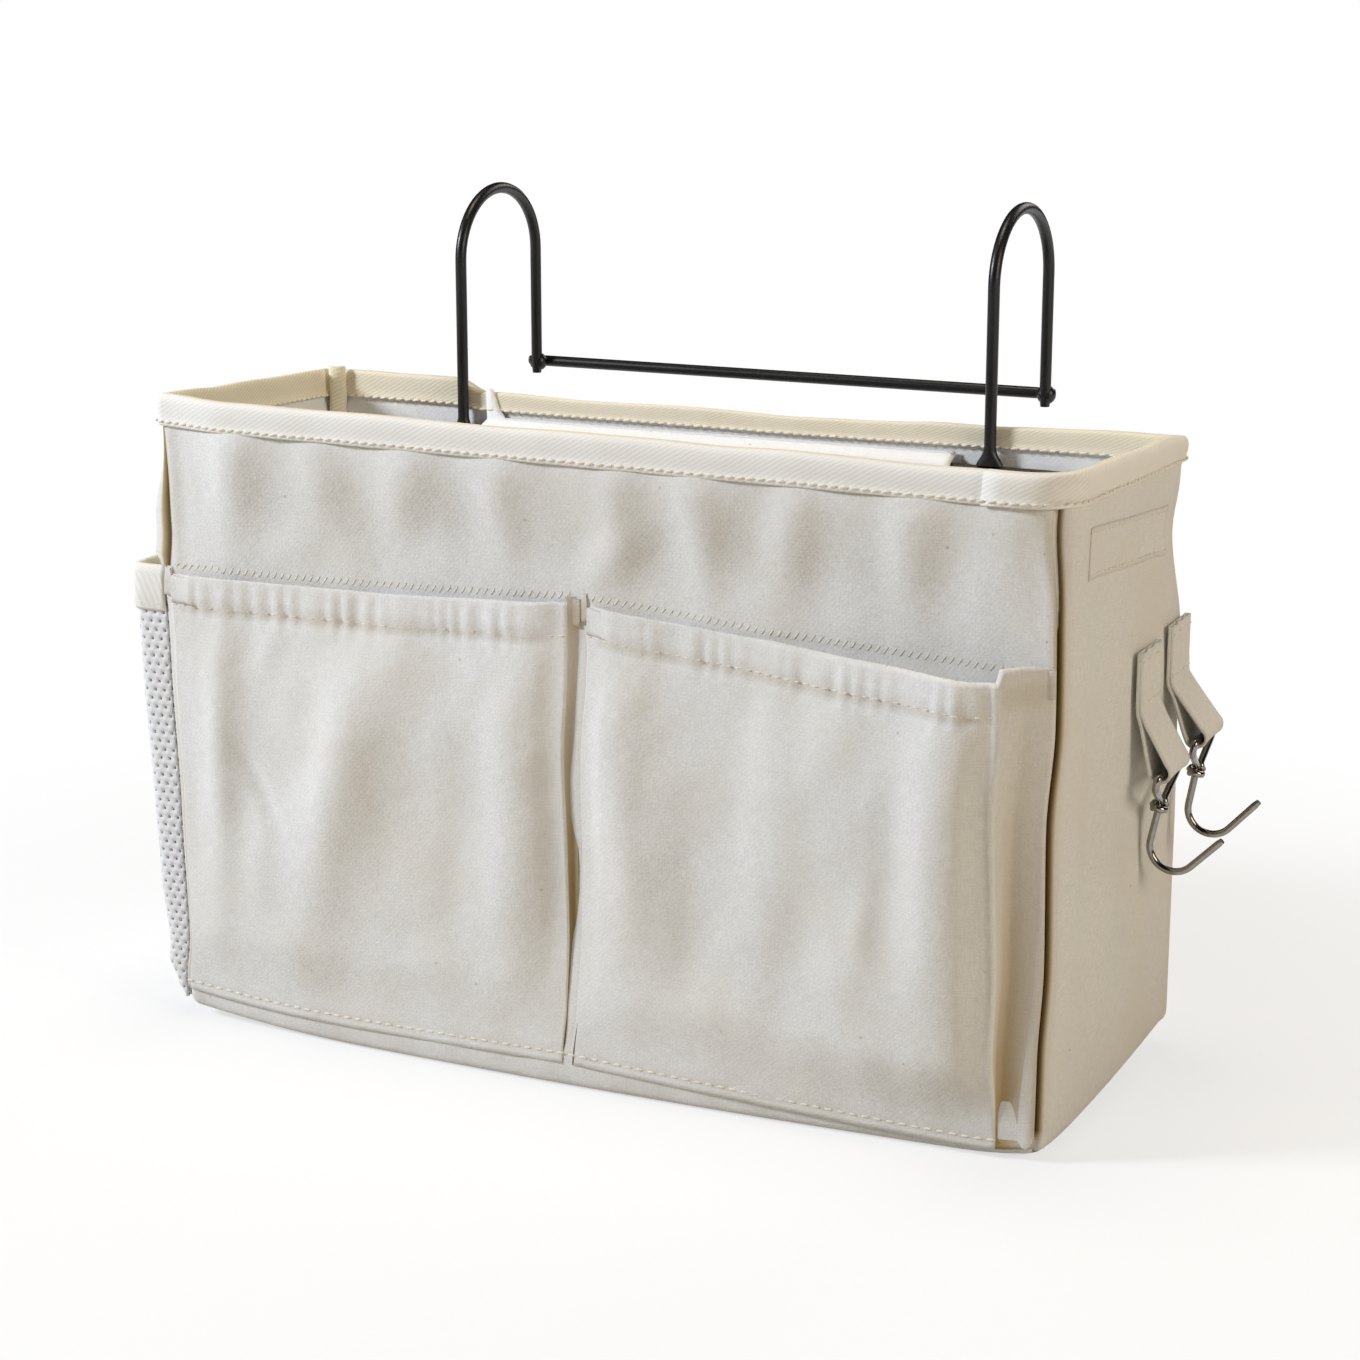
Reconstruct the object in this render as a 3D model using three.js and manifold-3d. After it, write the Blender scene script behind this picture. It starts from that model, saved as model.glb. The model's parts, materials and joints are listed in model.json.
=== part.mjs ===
// Canvas bedside caddy: a sewn box bag with two bellows pockets, a mesh side pocket and two key hooks,
// hung from a bed rail by a black wire hanger whose lower bar turns in a sleeve inside the back wall.
// Millimetres. Origin at the middle of the base, +X the key-hook side, -Y the pocket side, +Z up.
import * as THREE from 'three';
import { mergeVertices } from 'three/addons/utils/BufferGeometryUtils.js';
import { ConvexGeometry } from 'three/addons/geometries/ConvexGeometry.js';
import Module from 'manifold-3d';

const wasm = await Module();
wasm.setup();

// Bag
const bagWidth = 320;
const bagDepth = 120;
const bagHeight = 214;
const sideCrown = 1; // swell of the key-hook side at mid depth
const canvas = 1.5; // outer cloth
const lining = 0.8; // inner cloth
const gap = 0.3; // clearance between pieces that touch
const backBoard = 1.2; // sheet inside the back wall
const backBoardMargin = 8;
const baseBoard = 2; // sheet inside the base

// Binding tapes
const tape = 1;
const rimTapeHeight = 10;
const cornerTapeWidth = 6;
const cornerTapeThick = 1.6;

// Front pockets
const pocketTop = 160; // at the sewn edges
const pocketFoot = 2;
const pocketMouthDrop = 4; // the free edge hangs below the sewn ends
const pocketEdgeMargin = 2; // from the side seams to the pockets
const pocketFootDepth = 3.5;
const centrePleat = 2; // strip of front wall between the two pockets
const centreInset = 3; // each pocket's inner gusset slants by this
const leftOuterDepth = 7; // mouth of the left pocket, nearly closed
const leftInnerDepth = 10;
const leftOuterInset = 7;
const rightInnerDepth = 8; // mouth of the right pocket, gaping at its outer end
const rightOuterDepth = 18;
const rightOuterInset = 16;

// Mesh pocket on the left side
const meshTop = 156;
const meshFoot = 3;
const meshEdgeMargin = 2;
const meshGusset = 10.4;
const meshThick = 1.2;
const meshRows = 15;
const meshColumns = 9;
const meshBorder = 7;
const meshHoleShare = 0.68; // diamond size against its pitch
const meshHemHeight = 11;

// Reinforcing patch on the right side
const patchFront = -35;
const patchRear = 44;
const patchDrop = 18.5; // rim to the patch
const patchHeight = 16.5;
const patchThick = 0.8;

// Key loops and key hooks
const strapWidth = 22;
const strapThick = 1.1; // one layer of the folded strap
const strapSewn = 18; // sewn length above the stitch line
const strapDrop = 20.6; // stitch line to the middle of the fold
const strapEye = 2.6; // inner radius of the fold
const strapSlit = 7; // stitch line to where the layers part
const keyWire = 2.4;
const keyPlay = 0.3; // wire to cloth at the bottom of the fold
const bailPlay = 0.75; // strap edge to the bail's sides
const bailDrop = 11.5;
const bailShoulder = 4; // straight sides beside the fold
const bailCorner = 1.8;
const keyNeck = 4; // where the bail's two ends meet the shank
const keyShank = 13.5; // below the bail
const keyBend = 8; // bend radius of the hook, wire centre
const keyTipTurn = 147; // degrees of bend
const keyTipLength = 14;
const frontLoopPlace = 17; // towards the back from the bag's middle
const frontLoopHeight = 129; // of the stitch line
const rearLoopPlace = 48;
const rearLoopHeight = 131.5;
const keyLoops = [
  { name: 'front', y: frontLoopPlace, z: frontLoopHeight, strapTilt: 24, hookTilt: 12 },
  { name: 'rear', y: rearLoopPlace, z: rearLoopHeight, strapTilt: 34, hookTilt: 10 },
];

// Wire hanger
const hangerWire = 4;
const hangerSpacing = 200; // between the two hooks
const hangerOffset = -4; // the hanger sits a little left in its sleeve
const hangerBarLength = 258;
const hangerReach = 57; // front leg to rear leg, wire centres
const hangerArchRise = 24;
const archSpringRise = 41; // rim to where the legs turn into the arch
const crossBarDrop = 2; // rim to the cross bar's middle
const rearTail = 4; // rear leg below the cross bar's middle
const crossBarOverhang = 5; // past the left hook
const crossBarStub = 2; // past the right hook's middle
const weldFlare = 4.5; // spread of the weld along the bar
const weldFlareHeight = 6;
const weldBead = 3.2;
const sleeveLength = 178;
const sleeveOffset = -6; // the sleeve's middle, left of the bag's
const sleeveCloth = 1;
const sleevePlay = 0.5; // bar to cloth
const sleeveClear = 2; // rim tape to the sleeve's top edge
const sleeveAbove = 8; // sewn flange above the bar's middle
const sleeveBelow = 9;

// Places worked out from the sizes above
const halfWidth = bagWidth / 2;
const halfDepth = bagDepth / 2;
const wallFoot = canvas + gap;
const wallTop = bagHeight - tape - gap;
const wallEnd = halfWidth - canvas - gap; // ends of the front and back walls
const frontInner = -halfDepth + canvas + gap + lining;
const backBoardFace = halfDepth - canvas - gap - backBoard;
const backInner = backBoardFace - gap - lining;
const sideInner = halfWidth - canvas - gap - lining;
const boardFoot = wallFoot;
const liningFoot = boardFoot + baseBoard + gap;
const floorTop = liningFoot + lining;
const rimTapeFoot = bagHeight - rimTapeHeight;
const hangerBarHeight = rimTapeFoot - sleeveClear - sleeveAbove;
const hangerArchSpring = bagHeight + archSpringRise;
const crossBarHeight = bagHeight - crossBarDrop;
const hangerRearEnd = crossBarHeight - rearTail;
const patchHigh = bagHeight - patchDrop;
const patchLow = patchHigh - patchHeight;
const crownAt = (y) => sideCrown * (1 - (y / halfDepth) ** 2);

const crownSteps = 12;
const hangerSides = 10;
const keySides = 8;
const overcut = 2; // how far a cutting tool runs past the face it opens
const radians = THREE.MathUtils.degToRad;

const caddy = new THREE.Group();

function finish(colour, roughness, metalness = 0) {
  return () => new THREE.MeshStandardMaterial({ color: colour, roughness, metalness });
}

const canvasCloth = finish(0xe4e0d8, 0.92);
const liningCloth = finish(0xebebe9, 0.85);
const tapeCloth = finish(0xe9e2cf, 0.9);
const netCloth = finish(0xf1f1ef, 0.8);
const boardPlastic = finish(0xd8d8d4, 0.5);
const nickelWire = finish(0xb9b7b2, 0.25, 1);
const blackWire = finish(0x16171a, 0.4, 0.6);

function add(name, geometry, material, parent = caddy) {
  const mesh = new THREE.Mesh(geometry, material());
  mesh.name = name;
  parent.add(mesh);
  return mesh;
}

function box(x0, x1, y0, y1, z0, z1) {
  const geometry = new THREE.BoxGeometry(x1 - x0, y1 - y0, z1 - z0);
  return geometry.translate((x0 + x1) / 2, (y0 + y1) / 2, (z0 + z1) / 2);
}

function toShape(points) {
  return new THREE.Shape(points.map(([a, b]) => new THREE.Vector2(a, b)));
}

// Outline in plan, raised from z0 to z1
function planPrism(points, z0, z1) {
  const geometry = new THREE.ExtrudeGeometry(toShape(points), { depth: z1 - z0, bevelEnabled: false });
  return geometry.translate(0, 0, z0);
}

// Outline in Y and Z, run from x0 to x1
function prismAlongX(shape, x0, x1) {
  const geometry = new THREE.ExtrudeGeometry(shape, { depth: x1 - x0, bevelEnabled: false });
  const turn = new THREE.Matrix4().makeBasis(
    new THREE.Vector3(0, 1, 0),
    new THREE.Vector3(0, 0, 1),
    new THREE.Vector3(1, 0, 0),
  );
  return geometry.applyMatrix4(turn).translate(x0, 0, 0);
}

// Outline in X and Z, run from y0 to y1
function prismAlongY(shape, y0, y1) {
  const geometry = new THREE.ExtrudeGeometry(shape, { depth: y1 - y0, bevelEnabled: false });
  const turn = new THREE.Matrix4().makeBasis(
    new THREE.Vector3(1, 0, 0),
    new THREE.Vector3(0, 0, 1),
    new THREE.Vector3(0, -1, 0),
  );
  return geometry.applyMatrix4(turn).translate(0, y1, 0);
}

function smooth(points) {
  return new THREE.CatmullRomCurve3(points, false, 'centripetal');
}

// Straight runs between the points, with each inner corner rounded off
function rounded(list, corner) {
  const points = list.map(([x, y, z]) => new THREE.Vector3(x, y, z));
  const path = new THREE.CurvePath();
  let from = points[0];
  for (let i = 1; i < points.length - 1; i += 1) {
    const before = points[i - 1].clone().sub(points[i]).setLength(corner).add(points[i]);
    const after = points[i + 1].clone().sub(points[i]).setLength(corner).add(points[i]);
    path.add(new THREE.LineCurve3(from, before));
    path.add(new THREE.QuadraticBezierCurve3(before, points[i], after));
    from = after;
  }
  path.add(new THREE.LineCurve3(from, points.at(-1)));
  return path;
}

function wireAlong(path, diameter, sides, steps) {
  const circle = [];
  for (let i = 0; i < sides; i += 1) {
    const angle = (i / sides) * 2 * Math.PI;
    circle.push([(diameter / 2) * Math.cos(angle), (diameter / 2) * Math.sin(angle)]);
  }
  return new THREE.ExtrudeGeometry(toShape(circle), { steps, extrudePath: path, bevelEnabled: false });
}

function rodAlongX(diameter, x0, x1, y, z) {
  const geometry = new THREE.CylinderGeometry(diameter / 2, diameter / 2, x1 - x0, hangerSides);
  return geometry.rotateZ(Math.PI / 2).translate((x0 + x1) / 2, y, z);
}

function toSolid(geometry) {
  const bare = geometry.clone();
  bare.deleteAttribute('normal');
  bare.deleteAttribute('uv');
  const merged = mergeVertices(bare, 1e-4);
  return new wasm.Manifold(new wasm.Mesh({
    numProp: 3,
    vertProperties: new Float32Array(merged.attributes.position.array),
    triVerts: new Uint32Array(merged.index.array),
  }));
}

function toGeometry(solid) {
  const mesh = solid.getMesh();
  const geometry = new THREE.BufferGeometry();
  geometry.setAttribute('position', new THREE.BufferAttribute(new Float32Array(mesh.vertProperties), 3));
  geometry.setIndex(new THREE.BufferAttribute(new Uint32Array(mesh.triVerts), 1));
  geometry.computeVertexNormals();
  return geometry;
}

function cut(geometry, ...tools) {
  return toGeometry(tools.reduce((solid, tool) => solid.subtract(toSolid(tool)), toSolid(geometry)));
}

function join(...pieces) {
  return toGeometry(pieces.map(toSolid).reduce((solid, piece) => solid.add(piece)));
}

// Strip in plan along a side wall, between two distances out from the bag's middle
function sideStrip(side, inner, outer, y0, y1) {
  const swell = (y) => (side > 0 ? crownAt(y) : 0);
  const out = [];
  const back = [];
  for (let i = 0; i <= crownSteps; i += 1) {
    const y = y0 + ((y1 - y0) * i) / crownSteps;
    out.push([side * (outer + swell(y)), y]);
    back.unshift([side * (inner + swell(y)), y]);
  }
  return [...out, ...back];
}

// Floor outline in plan, with the key-hook side swollen
function floorOutline(halfSpan, y0, y1) {
  const right = [];
  for (let i = 0; i <= crownSteps; i += 1) {
    const y = y0 + ((y1 - y0) * i) / crownSteps;
    right.push([halfSpan + crownAt(y), y]);
  }
  return [[-halfSpan, y1], [-halfSpan, y0], ...right];
}

// Walls, linings and boards
function makeBag() {
  const sides = [['left', -1], ['right', 1]];
  const roomFront = frontInner + gap;
  const roomBack = backInner - gap;
  add('bottom_panel', planPrism(floorOutline(halfWidth, -halfDepth, halfDepth), 0, canvas), canvasCloth);
  add('base_board', planPrism(floorOutline(sideInner - gap, roomFront, roomBack),
    boardFoot, boardFoot + baseBoard), boardPlastic);
  add('bottom_lining', planPrism(floorOutline(sideInner - gap, roomFront, roomBack),
    liningFoot, floorTop), liningCloth);
  add('front_panel', box(-wallEnd, wallEnd, -halfDepth, -halfDepth + canvas, wallFoot, wallTop), canvasCloth);
  add('front_lining', box(-wallEnd, wallEnd, frontInner - lining, frontInner, wallFoot, wallTop),
    liningCloth);
  add('back_panel', box(-wallEnd, wallEnd, halfDepth - canvas, halfDepth, wallFoot, wallTop), canvasCloth);
  add('back_lining', box(-wallEnd, wallEnd, backInner, backInner + lining, wallFoot, wallTop), liningCloth);
  add('back_board', box(-wallEnd + backBoardMargin, wallEnd - backBoardMargin,
    backBoardFace, backBoardFace + backBoard,
    floorTop + backBoardMargin, rimTapeFoot - gap), boardPlastic);
  for (const [name, side] of sides) {
    const wall = sideStrip(side, halfWidth - canvas, halfWidth, -halfDepth, halfDepth);
    const inner = sideStrip(side, sideInner, sideInner + lining, roomFront, roomBack);
    add(`${name}_panel`, planPrism(wall, wallFoot, wallTop), canvasCloth);
    add(`${name}_lining`, planPrism(inner, wallFoot, wallTop), liningCloth);
  }
}

// Tape folded over the rim, in four lengths, and bound seams in the inner corners
function makeTapes() {
  const frontOut = -halfDepth - gap;
  const backOut = halfDepth + gap;
  const lengths = [['front', frontOut, frontInner + gap], ['back', backInner - gap, backOut]];
  const tapeEnd = sideInner - gap - tape - gap;
  for (const [name, y0, y1] of lengths) {
    const section = toShape([
      [y0 - tape, rimTapeFoot], [y0, rimTapeFoot], [y0, bagHeight - tape], [y1, bagHeight - tape],
      [y1, rimTapeFoot], [y1 + tape, rimTapeFoot], [y1 + tape, bagHeight], [y0 - tape, bagHeight],
    ]);
    add(`${name}_rim_tape`, prismAlongX(section, -tapeEnd, tapeEnd), tapeCloth);
  }
  for (const [name, side] of [['left', -1], ['right', 1]]) {
    const block = sideStrip(side, sideInner - gap - tape, halfWidth + gap + tape,
      frontOut - tape, backOut + tape);
    const slot = sideStrip(side, sideInner - gap, halfWidth + gap, frontOut, backOut);
    const near = sideInner - gap - tape - overcut;
    const ends = lengths.map(([, y0, y1]) => box(Math.min(side * near, side * halfWidth),
      Math.max(side * near, side * halfWidth), y0, y1, rimTapeFoot - overcut, bagHeight - tape));
    add(`${name}_rim_tape`, cut(planPrism(block, rimTapeFoot, bagHeight),
      planPrism(slot, rimTapeFoot - overcut, bagHeight - tape), ...ends), tapeCloth);
  }
  const root = cornerTapeThick / 2 + gap * Math.SQRT2;
  const low = floorTop + gap;
  const high = rimTapeFoot - gap;
  for (const [rank, y, into] of [['front', frontInner, 1], ['back', backInner, -1]]) {
    for (const [name, side] of [['left', -1], ['right', 1]]) {
      const reach = (root + cornerTapeWidth / 2) / Math.SQRT2;
      const strip = add(`${rank}_${name}_corner_tape`,
        new THREE.BoxGeometry(cornerTapeWidth, cornerTapeThick, high - low), tapeCloth);
      strip.position.set(side * (sideInner - reach), y + into * reach, (low + high) / 2);
      strip.rotation.z = -side * into * radians(45);
    }
  }
}

// Bellows pocket: a slanting face with a gusset at each end, open at the top and towards the wall
function pocketBlock(x0, x1, inset0, inset1, mouth, base, foot, top, drop, back) {
  const points = [
    [x0, back, foot], [x1, back, foot], [x0, back, top], [x1, back, top],
    [x0 + inset0, back - mouth[0], top - drop], [x1 - inset1, back - mouth[1], top - drop],
    [x0 + inset0, back - base[0], foot], [x1 - inset1, back - base[1], foot],
  ];
  return new ConvexGeometry(points.map(([x, y, z]) => new THREE.Vector3(x, y, z)));
}

function makePockets() {
  const back = -halfDepth - gap;
  const wall = canvas * Math.SQRT2; // cloth thickness across a slanting gusset
  const edge = halfWidth - pocketEdgeMargin;
  const pockets = [
    ['left_pocket', -edge, -centrePleat / 2, leftOuterInset, centreInset, [leftOuterDepth, leftInnerDepth]],
    ['right_pocket', centrePleat / 2, edge, centreInset, rightOuterInset, [rightInnerDepth, rightOuterDepth]],
  ];
  for (const [name, x0, x1, inset0, inset1, depths] of pockets) {
    const base = [pocketFootDepth, pocketFootDepth];
    const clear = depths.map((depth) => depth - canvas);
    const outer = pocketBlock(x0, x1, inset0, inset1, depths, base,
      pocketFoot, pocketTop, pocketMouthDrop, back);
    const room = pocketBlock(x0 + wall, x1 - wall, inset0, inset1, clear, base.map((depth) => depth - canvas),
      pocketFoot + canvas, pocketTop, pocketMouthDrop, back);
    const mouth = pocketBlock(x0 + wall, x1 - wall, inset0, inset1, clear, clear,
      pocketTop - pocketMouthDrop - gap, pocketTop + overcut, 0, back);
    add(name, cut(outer, room, mouth), canvasCloth);
  }
}

// Mesh pocket: a net face on a U-shaped gusset, with a bound top edge
function makeMeshPocket() {
  const half = halfDepth - meshEdgeMargin;
  const wallFace = -halfWidth - gap;
  const netInner = wallFace - meshGusset - gap;

  const inner = half - meshThick;
  const gusset = toShape([
    [-half, meshTop], [-half, meshFoot], [half, meshFoot], [half, meshTop],
    [inner, meshTop], [inner, meshFoot + meshThick], [-inner, meshFoot + meshThick], [-inner, meshTop],
  ]);
  add('mesh_gusset', prismAlongX(gusset, wallFace - meshGusset, wallFace), netCloth);

  const net = toShape([[-half, meshFoot], [half, meshFoot], [half, meshTop], [-half, meshTop]]);
  const netTop = meshTop - meshHemHeight - meshBorder / 2;
  const pitchY = (2 * (half - meshBorder)) / meshColumns;
  const pitchZ = (netTop - meshFoot - meshBorder) / meshRows;
  for (let row = 0; row < meshRows; row += 1) {
    const shifted = row % 2;
    for (let column = 0; column < meshColumns - shifted; column += 1) {
      const y = -half + meshBorder + (column + 0.5 + shifted / 2) * pitchY;
      const z = meshFoot + meshBorder + (row + 0.5) * pitchZ;
      const dy = (pitchY * meshHoleShare) / 2;
      const dz = pitchZ * meshHoleShare;
      net.holes.push(toShape([[y - dy, z], [y, z - dz], [y + dy, z], [y, z + dz]]));
    }
  }
  add('mesh_face', prismAlongX(net, netInner - meshThick, netInner), netCloth);

  const x0 = netInner - meshThick - gap;
  const x1 = netInner + gap;
  const low = meshTop - meshHemHeight;
  const high = meshTop + gap;
  const hem = toShape([
    [x0 - tape, low], [x0, low], [x0, high], [x1, high],
    [x1, low], [x1 + tape, low], [x1 + tape, high + tape], [x0 - tape, high + tape],
  ]);
  add('mesh_hem', prismAlongY(hem, -inner + gap, inner - gap), tapeCloth);
}

// Plain patch sewn high on the key-hook side
function makeSidePatch() {
  const strip = sideStrip(1, halfWidth + gap, halfWidth + gap + patchThick, patchFront, patchRear);
  add('side_patch', planPrism(strip, patchLow, patchHigh), canvasCloth);
}

// Folded strap below its stitch line: a round knuckle, two layers that part, and the fold
function strapSection() {
  const outer = strapEye + strapThick;
  const shape = new THREE.Shape();
  const lean = Math.asin((outer - strapThick) / strapDrop);
  shape.absarc(0, 0, strapThick, lean, Math.PI - lean, false);
  shape.absarc(0, -strapDrop, outer, Math.PI - lean, 2 * Math.PI + lean, false);
  const slit = new THREE.Path();
  const spread = Math.asin(strapEye / (strapDrop - strapSlit));
  slit.moveTo(0, -strapSlit);
  slit.absarc(0, -strapDrop, strapEye, spread, Math.PI - spread, true);
  shape.holes.push(slit);
  return shape;
}

// Wire key hook, hanging straight down from its bail's top bar at the origin
function keyHookGeometry() {
  const half = strapWidth / 2 + bailPlay + keyWire / 2;
  const bail = rounded([
    [0, 0, -bailDrop], [0, half, -bailShoulder], [0, half, 0],
    [0, -half, 0], [0, -half, -bailShoulder], [0, 0, -bailDrop],
  ], bailCorner);
  const bendHeight = -bailDrop - keyShank;
  const hook = [new THREE.Vector3(0, 0, -bailDrop), new THREE.Vector3(0, 0, bendHeight)];
  const bendSteps = 7;
  let last = hook[1];
  for (let i = 1; i <= bendSteps; i += 1) {
    const angle = radians(180 + (keyTipTurn * i) / bendSteps);
    last = new THREE.Vector3(keyBend + keyBend * Math.cos(angle), 0, bendHeight + keyBend * Math.sin(angle));
    hook.push(last);
  }
  const rise = radians(keyTipTurn - 90);
  hook.push(new THREE.Vector3(last.x + keyTipLength * Math.cos(rise), 0,
    last.z + keyTipLength * Math.sin(rise)));
  const neck = new THREE.SphereGeometry(keyNeck / 2, keySides, keySides / 2).translate(0, 0, -bailDrop);
  return join(wireAlong(bail, keyWire, keySides, 48), neck, wireAlong(smooth(hook), keyWire, keySides, 20));
}

function makeKeyLoops() {
  for (const loop of keyLoops) {
    const slope = Math.atan2(2 * sideCrown * loop.y, halfDepth ** 2);
    const stand = new THREE.Group();
    stand.position.set(halfWidth + crownAt(loop.y), loop.y, loop.z);
    stand.rotation.z = slope;
    caddy.add(stand);
    const knuckle = gap + strapThick;
    add(`${loop.name}_strap_patch`, box(gap, gap + 2 * strapThick, -strapWidth / 2, strapWidth / 2,
      strapThick + gap, strapThick + gap + strapSewn), canvasCloth, stand);

    const swing = new THREE.Group();
    swing.position.set(knuckle, 0, 0);
    swing.rotation.y = -radians(loop.strapTilt);
    stand.add(swing);
    add(`${loop.name}_strap_loop`, prismAlongY(strapSection(), -strapWidth / 2, strapWidth / 2),
      canvasCloth, swing);

    const bar = -strapDrop - strapEye + keyPlay + keyWire / 2;
    const hook = add(`${loop.name}_key_hook`, keyHookGeometry(), nickelWire, swing);
    hook.position.set(0, 0, bar);
    hook.rotation.y = radians(loop.strapTilt + loop.hookTilt);
  }
}

// Wire hanger: two over-rail hooks welded to a lower bar and a rear cross bar
function makeHanger() {
  const radius = hangerWire / 2;
  const barY = backInner - gap - sleeveCloth - sleevePlay - radius;
  const rearY = barY + hangerReach;
  const crossY = rearY + hangerWire + gap;
  const archSteps = 12;
  for (const [name, side] of [['left', -1], ['right', 1]]) {
    const x = hangerOffset + (side * hangerSpacing) / 2;
    const path = [new THREE.Vector3(x, barY, hangerBarHeight)];
    for (let i = 0; i <= archSteps; i += 1) {
      const angle = Math.PI * (1 - i / archSteps);
      path.push(new THREE.Vector3(x, barY + (hangerReach / 2) * (1 + Math.cos(angle)),
        hangerArchSpring + hangerArchRise * Math.sin(angle)));
    }
    path.push(new THREE.Vector3(x, rearY, hangerRearEnd));
    const flare = new THREE.CylinderGeometry(radius, weldFlare, weldFlareHeight, hangerSides)
      .rotateX(Math.PI / 2)
      .scale(1, (radius + gap) / weldFlare, 1)
      .translate(x, barY, hangerBarHeight + radius + weldFlareHeight / 2);
    const bead = new THREE.SphereGeometry(weldBead, hangerSides, hangerSides / 2)
      .translate(x, rearY + radius / 2, crossBarHeight);
    const wire = join(wireAlong(smooth(path), hangerWire, hangerSides, 36), flare, bead);
    const seat = hangerWire + 2 * gap;
    const x0 = x - 2 * weldFlare;
    const x1 = x + 2 * weldFlare;
    add(`${name}_hanger_hook`, cut(wire, rodAlongX(seat, x0, x1, barY, hangerBarHeight),
      rodAlongX(seat, x0, x1, crossY, crossBarHeight)), blackWire);
  }
  add('lower_bar', rodAlongX(hangerWire, hangerOffset - hangerBarLength / 2,
    hangerOffset + hangerBarLength / 2, barY, hangerBarHeight), blackWire);
  add('cross_bar', rodAlongX(hangerWire, hangerOffset - hangerSpacing / 2 - crossBarOverhang,
    hangerOffset + hangerSpacing / 2 + crossBarStub, crossY, crossBarHeight), blackWire);

  // Sleeve sewn to the back lining, with the lower bar in its tunnel
  const tunnel = radius + sleevePlay;
  const outer = tunnel + sleeveCloth;
  const face = backInner - gap;
  const flange = face - sleeveCloth;
  const meet = Math.acos((flange - barY) / outer);
  const section = new THREE.Shape();
  section.moveTo(face, hangerBarHeight - sleeveBelow);
  section.lineTo(face, hangerBarHeight + sleeveAbove);
  section.lineTo(flange, hangerBarHeight + sleeveAbove);
  section.absarc(barY, hangerBarHeight, outer, meet, 2 * Math.PI - meet, false);
  section.lineTo(flange, hangerBarHeight - sleeveBelow);
  const hole = new THREE.Path();
  hole.absarc(barY, hangerBarHeight, tunnel, 0, 2 * Math.PI, true);
  section.holes.push(hole);
  add('hanger_sleeve', prismAlongX(section, sleeveOffset - sleeveLength / 2,
    sleeveOffset + sleeveLength / 2), liningCloth);
}

makeBag();
makeTapes();
makePockets();
makeMeshPocket();
makeSidePatch();
makeKeyLoops();
makeHanger();

export default caddy;
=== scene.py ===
import json
import math
import bmesh
import bpy
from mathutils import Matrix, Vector, noise


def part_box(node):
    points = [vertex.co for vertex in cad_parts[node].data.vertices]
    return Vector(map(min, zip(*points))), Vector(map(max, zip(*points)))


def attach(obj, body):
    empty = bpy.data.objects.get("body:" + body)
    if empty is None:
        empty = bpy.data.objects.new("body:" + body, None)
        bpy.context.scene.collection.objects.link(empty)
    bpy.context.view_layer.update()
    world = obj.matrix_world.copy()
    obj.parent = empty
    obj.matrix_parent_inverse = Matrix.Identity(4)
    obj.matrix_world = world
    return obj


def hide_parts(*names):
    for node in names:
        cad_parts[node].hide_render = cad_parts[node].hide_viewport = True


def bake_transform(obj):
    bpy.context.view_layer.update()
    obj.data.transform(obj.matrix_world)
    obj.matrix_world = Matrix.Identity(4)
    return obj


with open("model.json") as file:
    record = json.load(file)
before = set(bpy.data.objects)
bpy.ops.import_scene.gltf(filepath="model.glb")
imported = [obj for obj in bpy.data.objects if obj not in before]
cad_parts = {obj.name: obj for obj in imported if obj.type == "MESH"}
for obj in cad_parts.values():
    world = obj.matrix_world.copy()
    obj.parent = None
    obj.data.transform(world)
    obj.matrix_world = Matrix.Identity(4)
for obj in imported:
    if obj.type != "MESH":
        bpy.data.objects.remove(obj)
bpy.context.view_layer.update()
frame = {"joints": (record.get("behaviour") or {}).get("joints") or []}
mm = 0.001

# the bag's own box, from the frame
baseLow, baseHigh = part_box("bottom_panel")
tapeLow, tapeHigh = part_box("front_rim_tape")
halfWidth = -baseLow[0]
halfDepth = -baseLow[1]
crown = baseHigh[0] - halfWidth
rimFoot = tapeLow[2]
rimTop = tapeHigh[2]
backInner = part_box("back_lining")[0][1]
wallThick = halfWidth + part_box("left_lining")[1][0]
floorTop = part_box("bottom_lining")[1][2]
joints = {joint["name"]: joint for joint in frame["joints"]}


def linear(hexColour):
    parts = [int(hexColour[i:i + 2], 16) / 255 for i in (0, 2, 4)]
    return [c / 12.92 if c <= 0.04045 else ((c + 0.055) / 1.055) ** 2.4 for c in parts] + [1.0]


def clamp(t):
    return min(max(t, 0.0), 1.0)


def ease(low, high, t):
    t = clamp((t - low) / (high - low))
    return t * t * (3 - 2 * t)


def mix(a, b, t):
    return a + (b - a) * t


# a bell round nought; sharp 4 gives it a flat top
def bell(t, sharp=2):
    return math.exp(-t ** sharp)


# value at t from a short list of (t, value) knots, eased between them
def between(knots, t):
    for (t0, v0), (t1, v1) in zip(knots, knots[1:]):
        if t <= t1:
            return mix(v0, v1, ease(t0, t1, t))
    return knots[-1][1]


# lengths run along a row of points
def runLengths(points):
    found = [0.0]
    for a, b in zip(points, points[1:]):
        found.append(found[-1] + (b - a).length)
    return found


def middleOf(node):
    return [(low + high) / 2 for low, high in zip(*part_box(node))]


# Shader nodes

def fill(tree, node, inputs):
    for key, value in inputs.items():
        if isinstance(value, bpy.types.NodeSocket):
            tree.links.new(value, node.inputs[key])
        else:
            node.inputs[key].default_value = value
    return node


def addNode(tree, kind, inputs=None, **settings):
    node = tree.nodes.new(kind)
    for key, value in settings.items():
        setattr(node, key, value)
    return fill(tree, node, inputs or {})


def blankTree(owner):
    owner.use_nodes = True
    owner.node_tree.nodes.clear()
    return owner.node_tree


def reckon(tree, operation, *values):
    return addNode(tree, "ShaderNodeMath", dict(enumerate(values)), operation=operation).outputs[0]


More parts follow.
